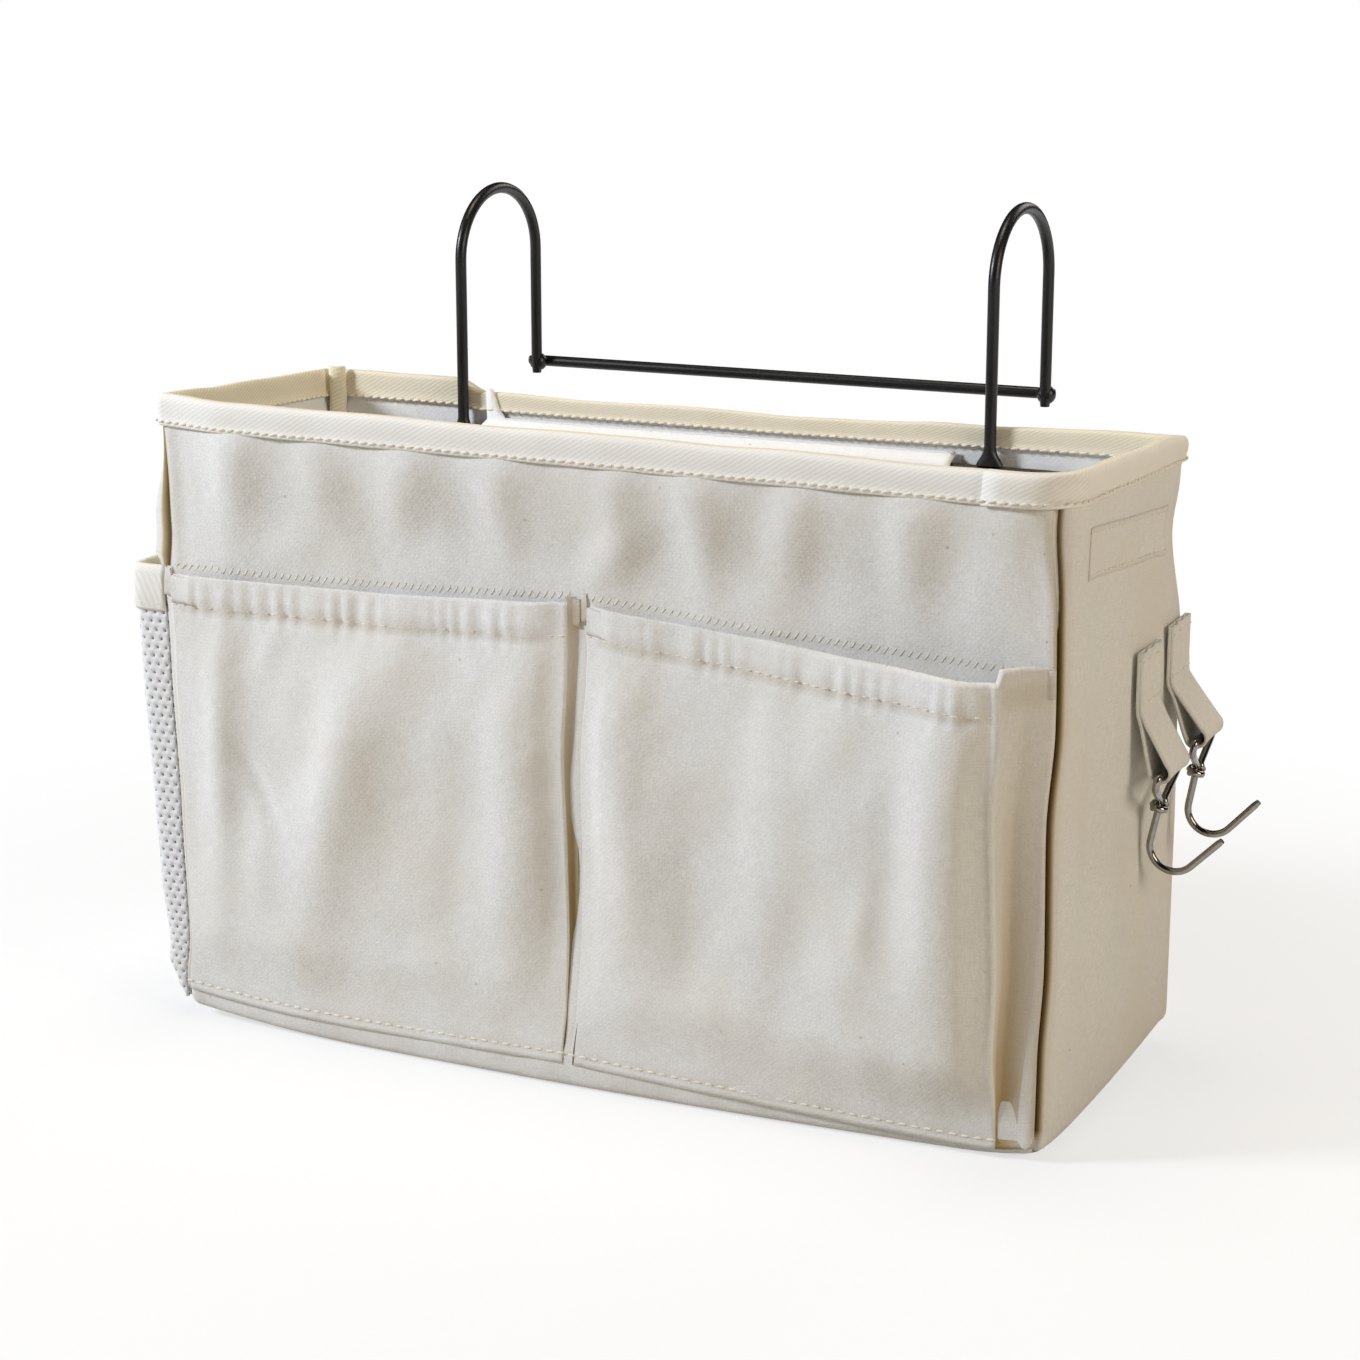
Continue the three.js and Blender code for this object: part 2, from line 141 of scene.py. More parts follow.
def span(tree, value, low, high, toLow=0.0, toHigh=1.0, shape="LINEAR"):
    return addNode(tree, "ShaderNodeMapRange", {
        "Value": value, "From Min": low, "From Max": high, "To Min": toLow, "To Max": toHigh},
        interpolation_type=shape).outputs[0]


def dye(tree, share, *colours):
    a, b = (linear(colour) if isinstance(colour, str) else colour for colour in colours)
    mixed = addNode(tree, "ShaderNodeMix", {"Factor": share, "A": a, "B": b}, data_type="RGBA")
    return mixed.outputs["Result"]


def speckle(tree, place, size, detail, roughness=0.5, output="Fac"):
    return addNode(tree, "ShaderNodeTexNoise", {
        "Vector": place, "Scale": 1 / (size * mm), "Detail": detail, "Roughness": roughness}).outputs[output]


def drawOut(tree, place, stretch):
    return addNode(tree, "ShaderNodeMapping", {"Vector": place, "Scale": stretch}).outputs[0]


# a place that strays by a noise of the cloth's own
def wander(tree, place, uv, size, detail, reach):
    drift = addNode(tree, "ShaderNodeVectorMath", {
        0: speckle(tree, uv, size, detail, output="Color"), "Scale": reach * mm}, operation="SCALE")
    return addNode(tree, "ShaderNodeVectorMath", {0: place, 1: drift.outputs[0]}, operation="ADD").outputs[0]


def emboss(tree, height, depth, strength, under=None):
    inputs = {"Height": height, "Distance": depth * mm, "Strength": strength}
    if under is not None:
        inputs["Normal"] = under
    return addNode(tree, "ShaderNodeBump", inputs).outputs[0]


def mixShaders(tree, share, first, second):
    return addNode(tree, "ShaderNodeMixShader", {0: share, 1: first.outputs[0], 2: second.outputs[0]})


# Camera at the photograph's angle
cameraView = {"azimuth": 25.09, "elevation": 13.93, "distance": 1.0364, "right": 0.00591,
              "up": 0.11657, "lift": 0.004, "focal": 2991.05, "frame": 1360, "sensor": 36.0, "far": 20}


def makeCamera():
    view = cameraView
    azimuth = math.radians(view["azimuth"])
    elevation = math.radians(view["elevation"])
    back = Vector((math.sin(azimuth) * math.cos(elevation), -math.cos(azimuth) * math.cos(elevation),
                   math.sin(elevation)))
    right = Vector((math.cos(azimuth), math.sin(azimuth), 0))
    data = bpy.data.cameras.new("photoCamera")
    data.sensor_width = view["sensor"]
    data.lens = view["sensor"] * view["focal"] / view["frame"]
    data.clip_end = view["far"]
    camera = bpy.data.objects.new("photoCamera", data)
    camera.location = (back * view["distance"] + right * view["right"]
                       + back.cross(right) * view["up"] + Vector((0, 0, view["lift"])))
    camera.rotation_euler = (math.pi / 2 - elevation, 0, azimuth)
    bpy.context.collection.objects.link(camera)
    bpy.context.scene.camera = camera


# Floor, lamps and white surround
studio = {"floorSize": 6.0, "floorColour": "fbfbfa", "bounceColour": "d6d2ca", "nearRadius": 0.2,
          "farRadius": 0.5, "nearWhite": 0.66, "worldStrength": 0.02, "worldColour": "fff2e0"}
lamps = [
    # name, place, aim, size, watts, colour
    ("keyLamp", (-1.5, -1.0, 1.1), (0, 0, 0.1), 0.45, 39.0, "eef4ff"),
    ("sideLamp", (1.6, -0.4, 0.8), (0, 0, 0.1), 0.9, 11.5, "fff2de"),
    ("fillLamp", (1.2, -1.3, 0.5), (0, 0, 0.1), 0.9, 0.6, "ffe0b0"),
    ("backLamp", (0.5, 1.7, 1.0), (0, 0, 0.1), 0.9, 6.0, "fffaf2"),
    ("topLamp", (-0.1, 0.1, 1.8), (0, 0, 0.15), 0.7, 10.0, "fff2de"),
]
pureWhite = (1, 1, 1, 1)


def seenRay(tree, *kinds):
    path = addNode(tree, "ShaderNodeLightPath").outputs
    seen = path["Is Camera Ray"]
    for kind in kinds:
        seen = reckon(tree, "MAXIMUM", seen, path[kind])
    return seen


def makeWorld(scene):
    scene.view_settings.view_transform = "Standard"
    scene.world = bpy.data.worlds.new("studioWorld")
    tree = blankTree(scene.world)
    soft = addNode(tree, "ShaderNodeBackground", {"Color": linear(studio["worldColour"]),
                                                  "Strength": studio["worldStrength"]})
    white = addNode(tree, "ShaderNodeBackground", {"Color": pureWhite, "Strength": 1.0})
    both = mixShaders(tree, seenRay(tree, "Is Transmission Ray"), soft, white)
    addNode(tree, "ShaderNodeOutputWorld", {"Surface": both.outputs[0]})


def makeFloor():
    half = studio["floorSize"] / 2
    mesh = bpy.data.meshes.new("studioFloor")
    mesh.from_pydata([(-half, -half, 0), (half, -half, 0), (half, half, 0), (-half, half, 0)], [],
                     [(0, 1, 2, 3)])
    floor = bpy.data.objects.new("studioFloor", mesh)
    bpy.context.collection.objects.link(floor)
    floor.location.z = -0.2 * mm
    paper = bpy.data.materials.new("whitePaperFloor")  # matt paper, fading to pure white far off
    tree = blankTree(paper)
    place = addNode(tree, "ShaderNodeTexCoord").outputs["Object"]
    distance = addNode(tree, "ShaderNodeVectorMath", {0: place}, operation="LENGTH").outputs["Value"]
    fade = span(tree, distance, studio["nearRadius"], studio["farRadius"], studio["nearWhite"],
                shape="SMOOTHSTEP")
    matt = addNode(tree, "ShaderNodeBsdfDiffuse", {"Color": linear(studio["floorColour"])})
    bounce = addNode(tree, "ShaderNodeBsdfDiffuse", {"Color": linear(studio["bounceColour"])})
    glow = addNode(tree, "ShaderNodeEmission", {"Color": pureWhite, "Strength": 1.0})
    both = mixShaders(tree, seenRay(tree, "Is Glossy Ray", "Is Transmission Ray"), bounce,
                      mixShaders(tree, fade, matt, glow))
    addNode(tree, "ShaderNodeOutputMaterial", {"Surface": both.outputs[0]})
    mesh.materials.append(paper)


def makeLamps():
    for name, place, aim, size, watts, colour in lamps:
        data = bpy.data.lights.new(name, "AREA")
        data.shape = "DISK"
        data.size = size
        data.energy = watts
        data.color = linear(colour)[:3]
        lamp = bpy.data.objects.new(name, data)
        lamp.location = place
        lamp.rotation_euler = (Vector(aim) - Vector(place)).to_track_quat("-Z", "Y").to_euler()
        bpy.context.collection.objects.link(lamp)


# Materials

def newMaterial(name):
    material = bpy.data.materials.new(name)
    tree = blankTree(material)
    shader = addNode(tree, "ShaderNodeBsdfPrincipled")
    addNode(tree, "ShaderNodeOutputMaterial", {"Surface": shader.outputs[0]})
    return material, tree, shader


# what all cotton shares: a little fuzz and hardly any shine
cottonFeel = {"Sheen Weight": 0.05, "Sheen Roughness": 0.6, "Specular IOR Level": 0.25}

# plain weave: over-and-under threads as bump, drawn coarser than the real thread so that it shows
# tuck and seam are painted shade colours: tan for gussets and hems, near black for the corner seam grooves
canvasFinish = {"light": "ebeae6", "dark": "dfddd8", "warm": "e2ddd1", "tuck": "b39c70", "seam": "30261a",
                "seed": "a08a63", "nep": "f3efe4", "roughness": 0.93,
                # sizes in mm
                "thread": 0.9, "slub": 4.2, "stain": 48.0, "fleck": 5.0, "crumple": 10.0, "buckle": 30.0,
                # bumps: depth in mm and strength
                "buckleBump": (5.0, 0.6), "crumpleBump": (0.9, 0.45), "yarnBump": (0.35, 0.16),
                "weaveBump": (0.22, 0.1)}

# thin bleached cotton: paler, smoother and cooler than the canvas
liningFinish = {**canvasFinish, "light": "f6f6f5", "dark": "efefee", "warm": "f2f0ec", "thread": 1.0,
                "buckleBump": (5.0, 0.2), "crumpleBump": (0.9, 0.25), "weaveBump": (0.22, 0.12)}


def weaveHeight(tree, place, thread):
    parts = addNode(tree, "ShaderNodeSeparateXYZ", {0: place}).outputs
    waves = [reckon(tree, "SINE", reckon(tree, "MULTIPLY", parts[axis], math.pi / (thread * mm)))
             for axis in ("X", "Y")]
    return reckon(tree, "MULTIPLY", *waves)


def clothMaterial(name, finish):
    material, tree, shader = newMaterial(name)
    uv = addNode(tree, "ShaderNodeUVMap", uv_map="cloth").outputs[0]
    weave = weaveHeight(tree, wander(tree, uv, uv, 9, 2.0, 0.5), finish["thread"])
    # slubs: thick stretches of yarn along both thread directions
    slubs = [speckle(tree, drawOut(tree, uv, way), finish["slub"], 2.0) for way in ((1, 9, 1), (9, 1, 1))]
    yarn = reckon(tree, "ADD", *slubs)
    tone = dye(tree, span(tree, yarn, 0.78, 1.22), finish["dark"], finish["light"])
    stain = speckle(tree, uv, finish["stain"], 3.0, 0.55)
    tone = dye(tree, span(tree, stain, 0.42, 0.72, 0.0, 0.55), tone, finish["warm"])
    # neps: small pale and seed-brown flecks of unbleached fibre
    cells = {"Vector": uv, "Scale": 1 / (finish["fleck"] * mm)}
    fleck = addNode(tree, "ShaderNodeTexVoronoi", cells).outputs
    kind = addNode(tree, "ShaderNodeSeparateColor", {0: fleck["Color"]}).outputs
    spot = reckon(tree, "MULTIPLY", span(tree, fleck["Distance"], 0.13, 0.05, 0.0, 0.6),
                  reckon(tree, "GREATER_THAN", kind[0], 0.86))
    tone = dye(tree, spot, tone, dye(tree, kind[1], finish["seed"], finish["nep"]))
    # painted shade carried per point: tan in folded gussets and along pocket hems, near black down the
    # corner seam grooves
    crease = addNode(tree, "ShaderNodeAttribute", attribute_name="crease").outputs["Fac"]
    tone = dye(tree, span(tree, crease, 0.0, 0.5), tone, finish["tuck"])
    tone = dye(tree, span(tree, crease, 0.5, 1.0), tone, finish["seam"])
    # bumps from broad to fine: upright buckles, crumple, yarn, weave
    buckle = speckle(tree, drawOut(tree, uv, (1, 0.35, 1)), finish["buckle"], 1.0)
    skin = emboss(tree, buckle, *finish["buckleBump"])
    skin = emboss(tree, speckle(tree, uv, finish["crumple"], 4.0, 0.6), *finish["crumpleBump"], skin)
    skin = emboss(tree, yarn, *finish["yarnBump"], skin)
    skin = emboss(tree, weave, *finish["weaveBump"], skin)
    fill(tree, shader, {"Base Color": tone, "Normal": skin, "Roughness": finish["roughness"], **cottonFeel})
    return material


# cotton twill tape: faint steep ribs across it, bleached; the half turned into the bag is painted tan as
# shade
tapeFinish = {"light": "f5f3ed", "dark": "ebe7dd", "paintedShadeLight": "f3ebd6", "paintedShadeDark": "e4d8b8", "inFrom": 11.5,
              "inFade": 2.0, "rib": 1.25, "lean": 58.0, "ribBump": (0.3, 0.11), "mottle": 14.0,
              "roughness": 0.9}


def twillMaterial(name, finish):
    material, tree, shader = newMaterial(name)
    uv = addNode(tree, "ShaderNodeUVMap", uv_map="cloth").outputs[0]
    turned = addNode(tree, "ShaderNodeMapping", {
        "Vector": uv, "Rotation": (0, 0, math.radians(finish["lean"]))}).outputs[0]
    across = addNode(tree, "ShaderNodeSeparateXYZ", {0: wander(tree, turned, uv, 5, 3.0, 0.9)}).outputs["X"]
    rib = reckon(tree, "SINE", reckon(tree, "MULTIPLY", across, 2 * math.pi / (finish["rib"] * mm)))
    faded = reckon(tree, "ADD", span(tree, rib, -1.0, 0.7), speckle(tree, uv, finish["mottle"], 3.0))
    share = span(tree, faded, 0.3, 1.3)
    # painted shade: the half turned in, past inFrom along the section, is tinted tan
    over = addNode(tree, "ShaderNodeSeparateXYZ", {0: uv}).outputs["Y"]
    inside = span(tree, over, finish["inFrom"] * mm, (finish["inFrom"] + finish["inFade"]) * mm,
                  shape="SMOOTHSTEP")
    tone = dye(tree, inside, dye(tree, share, finish["dark"], finish["light"]),
               dye(tree, share, finish["paintedShadeDark"], finish["paintedShadeLight"]))
    fill(tree, shader, {"Base Color": tone, "Normal": emboss(tree, rib, *finish["ribBump"]),
                        "Roughness": finish["roughness"], **cottonFeel})
    return material


# one finish for pieces whose grain reads their own place: net yarn, thread, board, plated and coated wire
def grainMaterial(name, light, dark, grain, bump, roughness, metallic=0.0):
    material, tree, shader = newMaterial(name)
    place = addNode(tree, "ShaderNodeTexCoord").outputs["Object"]
    fleck = speckle(tree, place, grain, 4.0, 0.6)
    fill(tree, shader, {"Base Color": dye(tree, fleck, dark, light),
                        "Normal": emboss(tree, fleck, 0.2, bump),
                        "Roughness": span(tree, fleck, 0.3, 0.7, *roughness), "Metallic": metallic})
    return material


# light through thin white yarn
def letThrough(material, colour, share):
    tree = material.node_tree
    shader = next(node for node in tree.nodes if node.type == "BSDF_PRINCIPLED")
    last = next(node for node in tree.nodes if node.type == "OUTPUT_MATERIAL")
    thin = addNode(tree, "ShaderNodeBsdfTranslucent", {"Color": linear(colour)})
    fill(tree, last, {"Surface": mixShaders(tree, share, shader, thin).outputs[0]})
    return material


def makeMaterials():
    return {
        "canvas": clothMaterial("unbleachedCottonCanvas", canvasFinish),
        "lining": clothMaterial("bleachedCottonLining", liningFinish),
        "tape": twillMaterial("cottonTwillTape", tapeFinish),
        # knitted polyester: clean white, slightly fuzzy
        "net": letThrough(grainMaterial("knittedPolyesterNet", "fafafa", "f0f0f0", 1.2, 0.5, (0.75, 0.9)),
                          "f4f4f2", 0.2),
        # spun cotton: cream with a soft twist
        "thread": grainMaterial("spunCottonThread", "f3eee2", "e4dccb", 0.8, 0.4, (0.8, 0.92)),
        # pressed fibre sheet: dull grey, only ever inside the cloth
        "board": grainMaterial("pressedFibreSheet", "d0d0cc", "b8b8b2", 2.0, 0.2, (0.6, 0.75)),
        # nickel plate on drawn wire: bright with faint drawing marks
        "nickel": grainMaterial("nickelPlatedWire", "a5a199", "79756d", 1.6, 0.08, (0.1, 0.22),
                                metallic=1.0),
        # black powder coat: deep black with a satin orange-peel skin
        "coat": grainMaterial("blackPowderCoatedSteel", "141415", "0b0b0c", 0.9, 0.18, (0.3, 0.42)),
    }


# Meshes

def linkPiece(name, mesh, material, body="bag"):
    piece = bpy.data.objects.new(name, mesh)
    bpy.context.collection.objects.link(piece)
    if material is not None and not mesh.materials:
        mesh.materials.append(material)
    if body:
        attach(piece, body)
    return piece


# quads over rows of points; uvs has one more column than the rows where they close on themselves
def gridMesh(name, rows, uvs, wrap=False, cap=None, creases=None):
    columns = len(rows[0])
    points = [p for row in rows for p in row]
    faces = []
    corners = []
    steps = columns if wrap else columns - 1
    for i in range(len(rows) - 1):
        for j in range(steps):
            k = (j + 1) % columns
            faces.append((i * columns + j, i * columns + k, (i + 1) * columns + k, (i + 1) * columns + j))
            corners.append((uvs[i][j], uvs[i][j + 1], uvs[i + 1][j + 1], uvs[i + 1][j]))
    if cap is not None:
        points.append(cap)
        for j in range(steps):
            faces.append((len(points) - 1, (j + 1) % columns, j))
            corners.append(((cap[0], cap[1]), uvs[0][j + 1], uvs[0][j]))
    mesh = bpy.data.meshes.new(name)
    mesh.from_pydata(points, [], faces)
    layer = mesh.uv_layers.new(name="cloth")
    layer.data.foreach_set("uv", [value for face in corners for uv in face for value in uv])
    # painted shade per point, read by the cloth material
    if creases:
        paintedShadeLayer = mesh.attributes.new("crease", "FLOAT", "POINT")
        paintedShadeLayer.data.foreach_set("value", [c for row in creases for c in row] + [0.0] * (cap is not None))
    mesh.shade_smooth()
    mesh.validate()
    return mesh


def bake(piece):
    depsgraph = bpy.context.evaluated_depsgraph_get()
    old = piece.data
    fresh = bpy.data.meshes.new_from_object(piece.evaluated_get(depsgraph), preserve_all_data_layers=True,
                                            depsgraph=depsgraph)
    piece.modifiers.clear()
    piece.data = fresh
    fresh.name = piece.name
    bpy.data.meshes.remove(old)
    return piece


def thicken(piece, thickness, offset=-1.0):
    wall = piece.modifiers.new("wall", "SOLIDIFY")
    wall.thickness = thickness
    wall.offset = offset
    wall.use_even_offset = False
    return bake(piece)


# rows of points as cloth of a thickness
def clothPiece(name, rows, uvs, material, thickness, body="bag", offset=-1.0, flip=False, **grid):
    mesh = gridMesh(name, rows, uvs, **grid)
    if flip:
        mesh.flip_normals()
    return thicken(linkPiece(name, mesh, material, body), thickness, offset)


# Sag of the whole bag: how each corner post, the base and the back rim stray from the square box

bagSag = {
    # post: (height share, (sideways, depth, height)) in mm
    "frontLeft": [(0.0, (4.0, 1.0, 0)), (0.05, (4.0, 0.5, 0)), (0.13, (6.0, 0, 0)), (0.35, (4.8, 0, 0)),
                  (0.6, (3.0, 0, 0.5)), (0.85, (0.5, 0, 2.6)), (1.0, (-1.0, 0, 4.4))],
    "frontRight": [(0.0, (-4.2, 1.0, 0)), (0.15, (-3.7, 0, 0)), (0.3, (-2.3, 0, 0)), (0.5, (-2.8, 0, 0)),
                   (0.65, (-0.8, 0, 0)), (0.9, (-1.6, 0, 0.3)), (1.0, (0.0, 0, 0.8))],
    "backRight": [(0.0, (2.2, 0, 0)), (0.35, (2.2, 0, 0)), (0.68, (1.4, 0, 0)), (0.84, (-2.6, 0, -1.0)),
                  (0.93, (-0.6, 0, -2.0)), (1.0, (0.7, 0, -3.0))],
    "backLeft": [(0.0, (2.0, 0, 0)), (0.4, (1.0, 0, 0)), (0.75, (-1.0, 0, 0)), (1.0, (-4.6, 0, -1.4))],
    # corner: (lift off the floor, reach along the width, reach along the depth, how sharply) in mm
    "lift": {"frontLeft": (4.0, 74, 34, 2), "frontRight": (2.6, 26, 26, 2), "backRight": (9.0, 46, 118, 1.2),
             "backLeft": (4.0, 50, 40, 2)},
    "frontBelly": 5.6, "frontHollow": 5.2, "leftTurn": 4.5,
    # depth, place along the side, height, half width, half height in mm
    "rightDent": (2.4, -20, 150, 24, 62),
    "backRimDip": 4.6, "dipFrom": -0.106, "dipWidth": 0.012,
}
posts = {"frontLeft": (-1, -1), "frontRight": (1, -1), "backRight": (1, 1), "backLeft": (-1, 1)}
for post in posts:
    bagSag[post] = [(t, Vector(offset)) for t, offset in bagSag[post]]


def settle(p):
    u = min(max(p[0] / halfWidth, -1), 1)
    v = min(max(p[1] / halfDepth, -1), 1)
    w = clamp(p[2] / rimTop)
    front = ease(0, 1, -v)
    low = 1 - ease(0.0, 0.28, w)
    shift = Vector((0, 0, 0))
    for post, (side, rank) in posts.items():
        share = (1 + side * u) * (1 + rank * v) / 4
        shift += between(bagSag[post], w) * share
        lift, reachX, reachY, sharp = bagSag["lift"][post]
        away = math.hypot((1 - side * u) * halfWidth / mm / reachX, (1 - rank * v) * halfDepth / mm / reachY)
        shift.z += lift * max(0.0, 1 - away) ** sharp * low
    shift.y -= bagSag["frontBelly"] * (1 - u * u) * (1 - ease(0.0, 0.25, w)) * front
    shift.y += bagSag["frontHollow"] * front * (1 - u ** 4) * ease(0.5, 0.8, w) * (1 - ease(0.8, 0.96, w))
    shift.y += bagSag["leftTurn"] * front * ease(0.82, 1.0, -u) * ease(0.7, 0.8, w)
    dent, dentY, dentZ, wide, tall = bagSag["rightDent"]
    shift.x -= dent * ease(0.5, 1.0, u) * bell((p[1] / mm - dentY) / wide) * bell((p[2] / mm - dentZ) / tall)
    dip = bagSag["backRimDip"] * ease(0, bagSag["dipWidth"], p[0] - bagSag["dipFrom"])
    shift.z -= dip * (1 - 0.75 * ease(0.1, 1.0, u)) * ease(0.93, 1.0, w) * ease(0.5, 1.0, v)
    return Vector(p) + shift * mm


# Outline of the wall in plan: straight sides, rounded corners and a seam groove in each corner

sides = [
    # name, start corner, direction, outward, corner at its start, corner at its end
    ("front", Vector((-halfWidth, -halfDepth)), Vector((1, 0)), Vector((0, -1)), "frontLeft", "frontRight"),
    ("right", Vector((halfWidth, -halfDepth)), Vector((0, 1)), Vector((1, 0)), "frontRight", "backRight"),
    ("back", Vector((halfWidth, halfDepth)), Vector((-1, 0)), Vector((0, 1)), "backRight", "backLeft"),
    ("left", Vector((-halfWidth, halfDepth)), Vector((0, -1)), Vector((-1, 0)), "backLeft", "frontLeft"),
]
outline = {
    "radius": {"frontLeft": 2.5, "frontRight": 2.5, "backRight": 3.5, "backLeft": 3.5},
    "rimRadius": {"frontLeft": 3.0, "frontRight": 15.0, "backRight": 3.5, "backLeft": 5.0},
    "grooveDepth": {"frontLeft": 4.6, "frontRight": 4.6, "backRight": 2.6, "backLeft": 2.6},
    "grooveWidth": 0.95,
    # painted shade of the seam line: its darkness, its half width in mm, faint wash beside it
    "seamShade": {"frontLeft": (0.95, 1.5, 0.05), "frontRight": (1.0, 1.2, 0.12),
                  "backRight": (0.5, 0.9, 0.04), "backLeft": (0.5, 0.9, 0.04)},
    "washWidth": 5.0,
    "ridge": 0.6, "ridgeAt": 3.4, "ridgeWidth": 1.9,
    "leftRidge": 8.0, "leftRidgeAt": 5.6, "leftRidgeWidth": 4.2, "leftRidgeSpan": (162, 206),
    "near": [0, 0.5, 0.8, 1.05, 1.4, 2.2, 3.3, 4.6, 6.4, 9.0, 12.5, 17.0, 23.0],
}


def sideStations(count):
    near = outline["near"]
    stations = [("start", d * mm) for d in near]
    stations += [("middle", (i + 1) / (count + 1)) for i in range(count)]
    return stations + [("end", d * mm) for d in reversed(near[1:])]


# point of the outline: place in plan, outward direction, distance round the side, distance to the seam
def planPoint(side, station, z):
    start, along, out, first, last = side[1:]
    length = 2 * (halfWidth if out.x == 0 else halfDepth)
    rise = ease(0.8, 0.97, z / rimTop)
    radii = [mix(outline["radius"][c], outline["rimRadius"][c], rise) * mm for c in (first, last)]
    arcs = [r * math.pi / 4 for r in radii]
    total = length - sum(radii) + sum(arcs)
    kind, value = station
    reach = outline["near"][-1] * mm
    s = {"start": value, "end": total - value, "middle": mix(reach, total - reach, value)}[kind]
    if s < arcs[0]:
        turn = math.pi / 4 * (1 - s / arcs[0])
        facing = out * math.cos(turn) - along * math.sin(turn)
        place = start + along * radii[0] - out * radii[0] + facing * radii[0]
    elif total - s < arcs[1]:
        turn = math.pi / 4 * (1 - (total - s) / arcs[1])
        facing = out * math.cos(turn) + along * math.sin(turn)
        place = start + along * (length - radii[1]) - out * radii[1] + facing * radii[1]
    else:
        facing = out
        place = start + along * (radii[0] + s - arcs[0])
    return place, facing, s, min(s, total - s)


def groove(side, toSeam, fromStart, z):
    d = toSeam / mm
    corner = side[4] if fromStart else side[5]
    cut = outline["grooveDepth"][corner] * bell(d / outline["grooveWidth"], 4)
    bead = outline["ridge"] * bell((d - outline["ridgeAt"]) / outline["ridgeWidth"])
    if side[0] == "left" and not fromStart:
        bead = outline["leftRidge"] * bell((d - outline["leftRidgeAt"]) / outline["leftRidgeWidth"])
        low, high = outline["leftRidgeSpan"]
        bead *= ease(0, 2.0, d) * ease(low - 10, low, z / mm) * (1 - ease(high - 34, high, z / mm))
    return (bead - cut) * mm


# painted shade on the canvas: a dark line down each corner seam groove and a faint wash beside it
def seamShade(side, station, z):
    kind = station[0]
    if kind == "middle":
        return 0.0
    d = planPoint(side, station, z)[3] / mm
    line, wide, wash = outline["seamShade"][side[4] if kind == "start" else side[5]]
    return min(line * bell(d / wide, 4) + wash * bell(d / outline["washWidth"]), 1.0)


def wallPoint(side, station, z, outward=0.0, grooved=True):
    place, facing, s, toSeam = planPoint(side, station, z)
    if grooved:
        outward += groove(side, toSeam, station[0] == "start", z)
    place = place + facing * outward
    swell = crown * (1 - min(abs(place.y) / halfDepth, 1) ** 2) if place.x > 0 else 0
    return Vector((place.x + swell, place.y, z)), Vector((facing.x, facing.y, 0))


wallFolds = {
    # soft folds: (along, height, half width, half height, lean, depth out), all in mm
    "front": [(-129, 194, 9, 20, 0.1, 3.4), (-97, 192, 9, 16, -0.1, 2.7), (-64, 192, 9, 16, 0.1, 3.0),
              (-28, 191, 8, 22, -0.05, 3.4), (13, 193, 7, 16, 0.1, 2.5), (42, 191, 8, 24, -0.1, 3.8),
              (72, 189, 9, 20, 0.2, 3.4), (112, 192, 9, 20, 0.05, 3.8), (140, 184, 9, 30, 0.1, 1.6),
              (12, 177, 9, 11, 0.8, 2.4), (-112, 168, 12, 8, 0.8, 1.0), (-50, 170, 14, 8, 0.6, 1.0),
              (62, 166, 10, 10, -0.4, 1.4)],
    "right": [(-40, 110, 7, 60, 0.06, 1.3), (-14, 56, 12, 44, -0.25, 1.5), (26, 70, 10, 56, 0.28, 1.2),
              (40, 172, 6, 24, -0.35, 1.4), (4, 28, 18, 18, 0.0, 1.0), (-46, 178, 5, 22, 0.2, 1.0)],
    "back": [(-90, 130, 22, 60, 0.1, 1.2), (20, 110, 26, 70, -0.1, 1.4), (105, 140, 20, 55, 0.15, 1.1),
             (-30, 60, 30, 40, 0.3, 1.0)],
    "left": [(-30, 186, 7, 20, 0.2, 1.0), (10, 184, 8, 22, -0.2, 1.1), (38, 186, 6, 18, 0.1, 0.9)],
}
foldSwell = {"front": 0.5, "right": 0.4, "back": 0.3, "left": 0.3}
crumpleSeed = {"front": 2.5, "right": 7.5, "back": 7.5, "left": 7.5}


def foldDepth(folds, a, z):
    a, z = a / mm, z / mm
    depth = 0.0
    for centre, height, wide, tall, lean, out in folds:
        across = (a - centre - lean * (z - height)) / wide
        up = (z - height) / tall
        if abs(across) < 3 and abs(up) < 2.2:
            depth += out * math.exp(-across * across - up * up)
    return depth * mm


# crumple left in the cloth by folding and packing
def crumple(a, z, seed):
    broad = noise.noise(Vector((a / mm / 34, z / mm / 34, seed)))
    tight = noise.noise(Vector((a / mm / 13, z / mm / 15, seed + 9)))
    return (0.7 * broad + 0.4 * tight) * mm


def wallRelief(side, a, z):
    bend = foldDepth(wallFolds[side], a, z) + crumple(a, z, crumpleSeed[side])
    return max(foldSwell[side] * mm + bend, 0.0)


# Bag

bag = {"wallRows": 58, "frontColumns": 92, "sideColumns": 30, "canvas": 1.5, "wallTop": 211.5, "calm": 14.0,
       # inset from the wall and height, from the floor up
       "baseEdge": [(4.6, 0.0), (3.0, 0.15), (1.6, 0.75), (0.6, 1.9), (0.12, 3.2), (0.0, 4.8)],
       "baseRings": [0.2, 0.45, 0.7, 0.88]}


def loopStations():
    counts = {"front": bag["frontColumns"], "back": bag["frontColumns"], "left": bag["sideColumns"],
              "right": bag["sideColumns"]}
    return [(side, station) for side in sides for station in sideStations(counts[side[0]])]


def roundUv(stations, z):
    distances = []
    offset = 0.0
    for index, (side, station) in enumerate(stations):
        if index and station == ("start", 0.0):
            offset += planPoint(stations[index - 1][0], ("end", 0.0), z)[2]
        distances.append(offset + planPoint(side, station, z)[2])
    return distances + [offset + planPoint(stations[-1][0], ("end", 0.0), z)[2]]


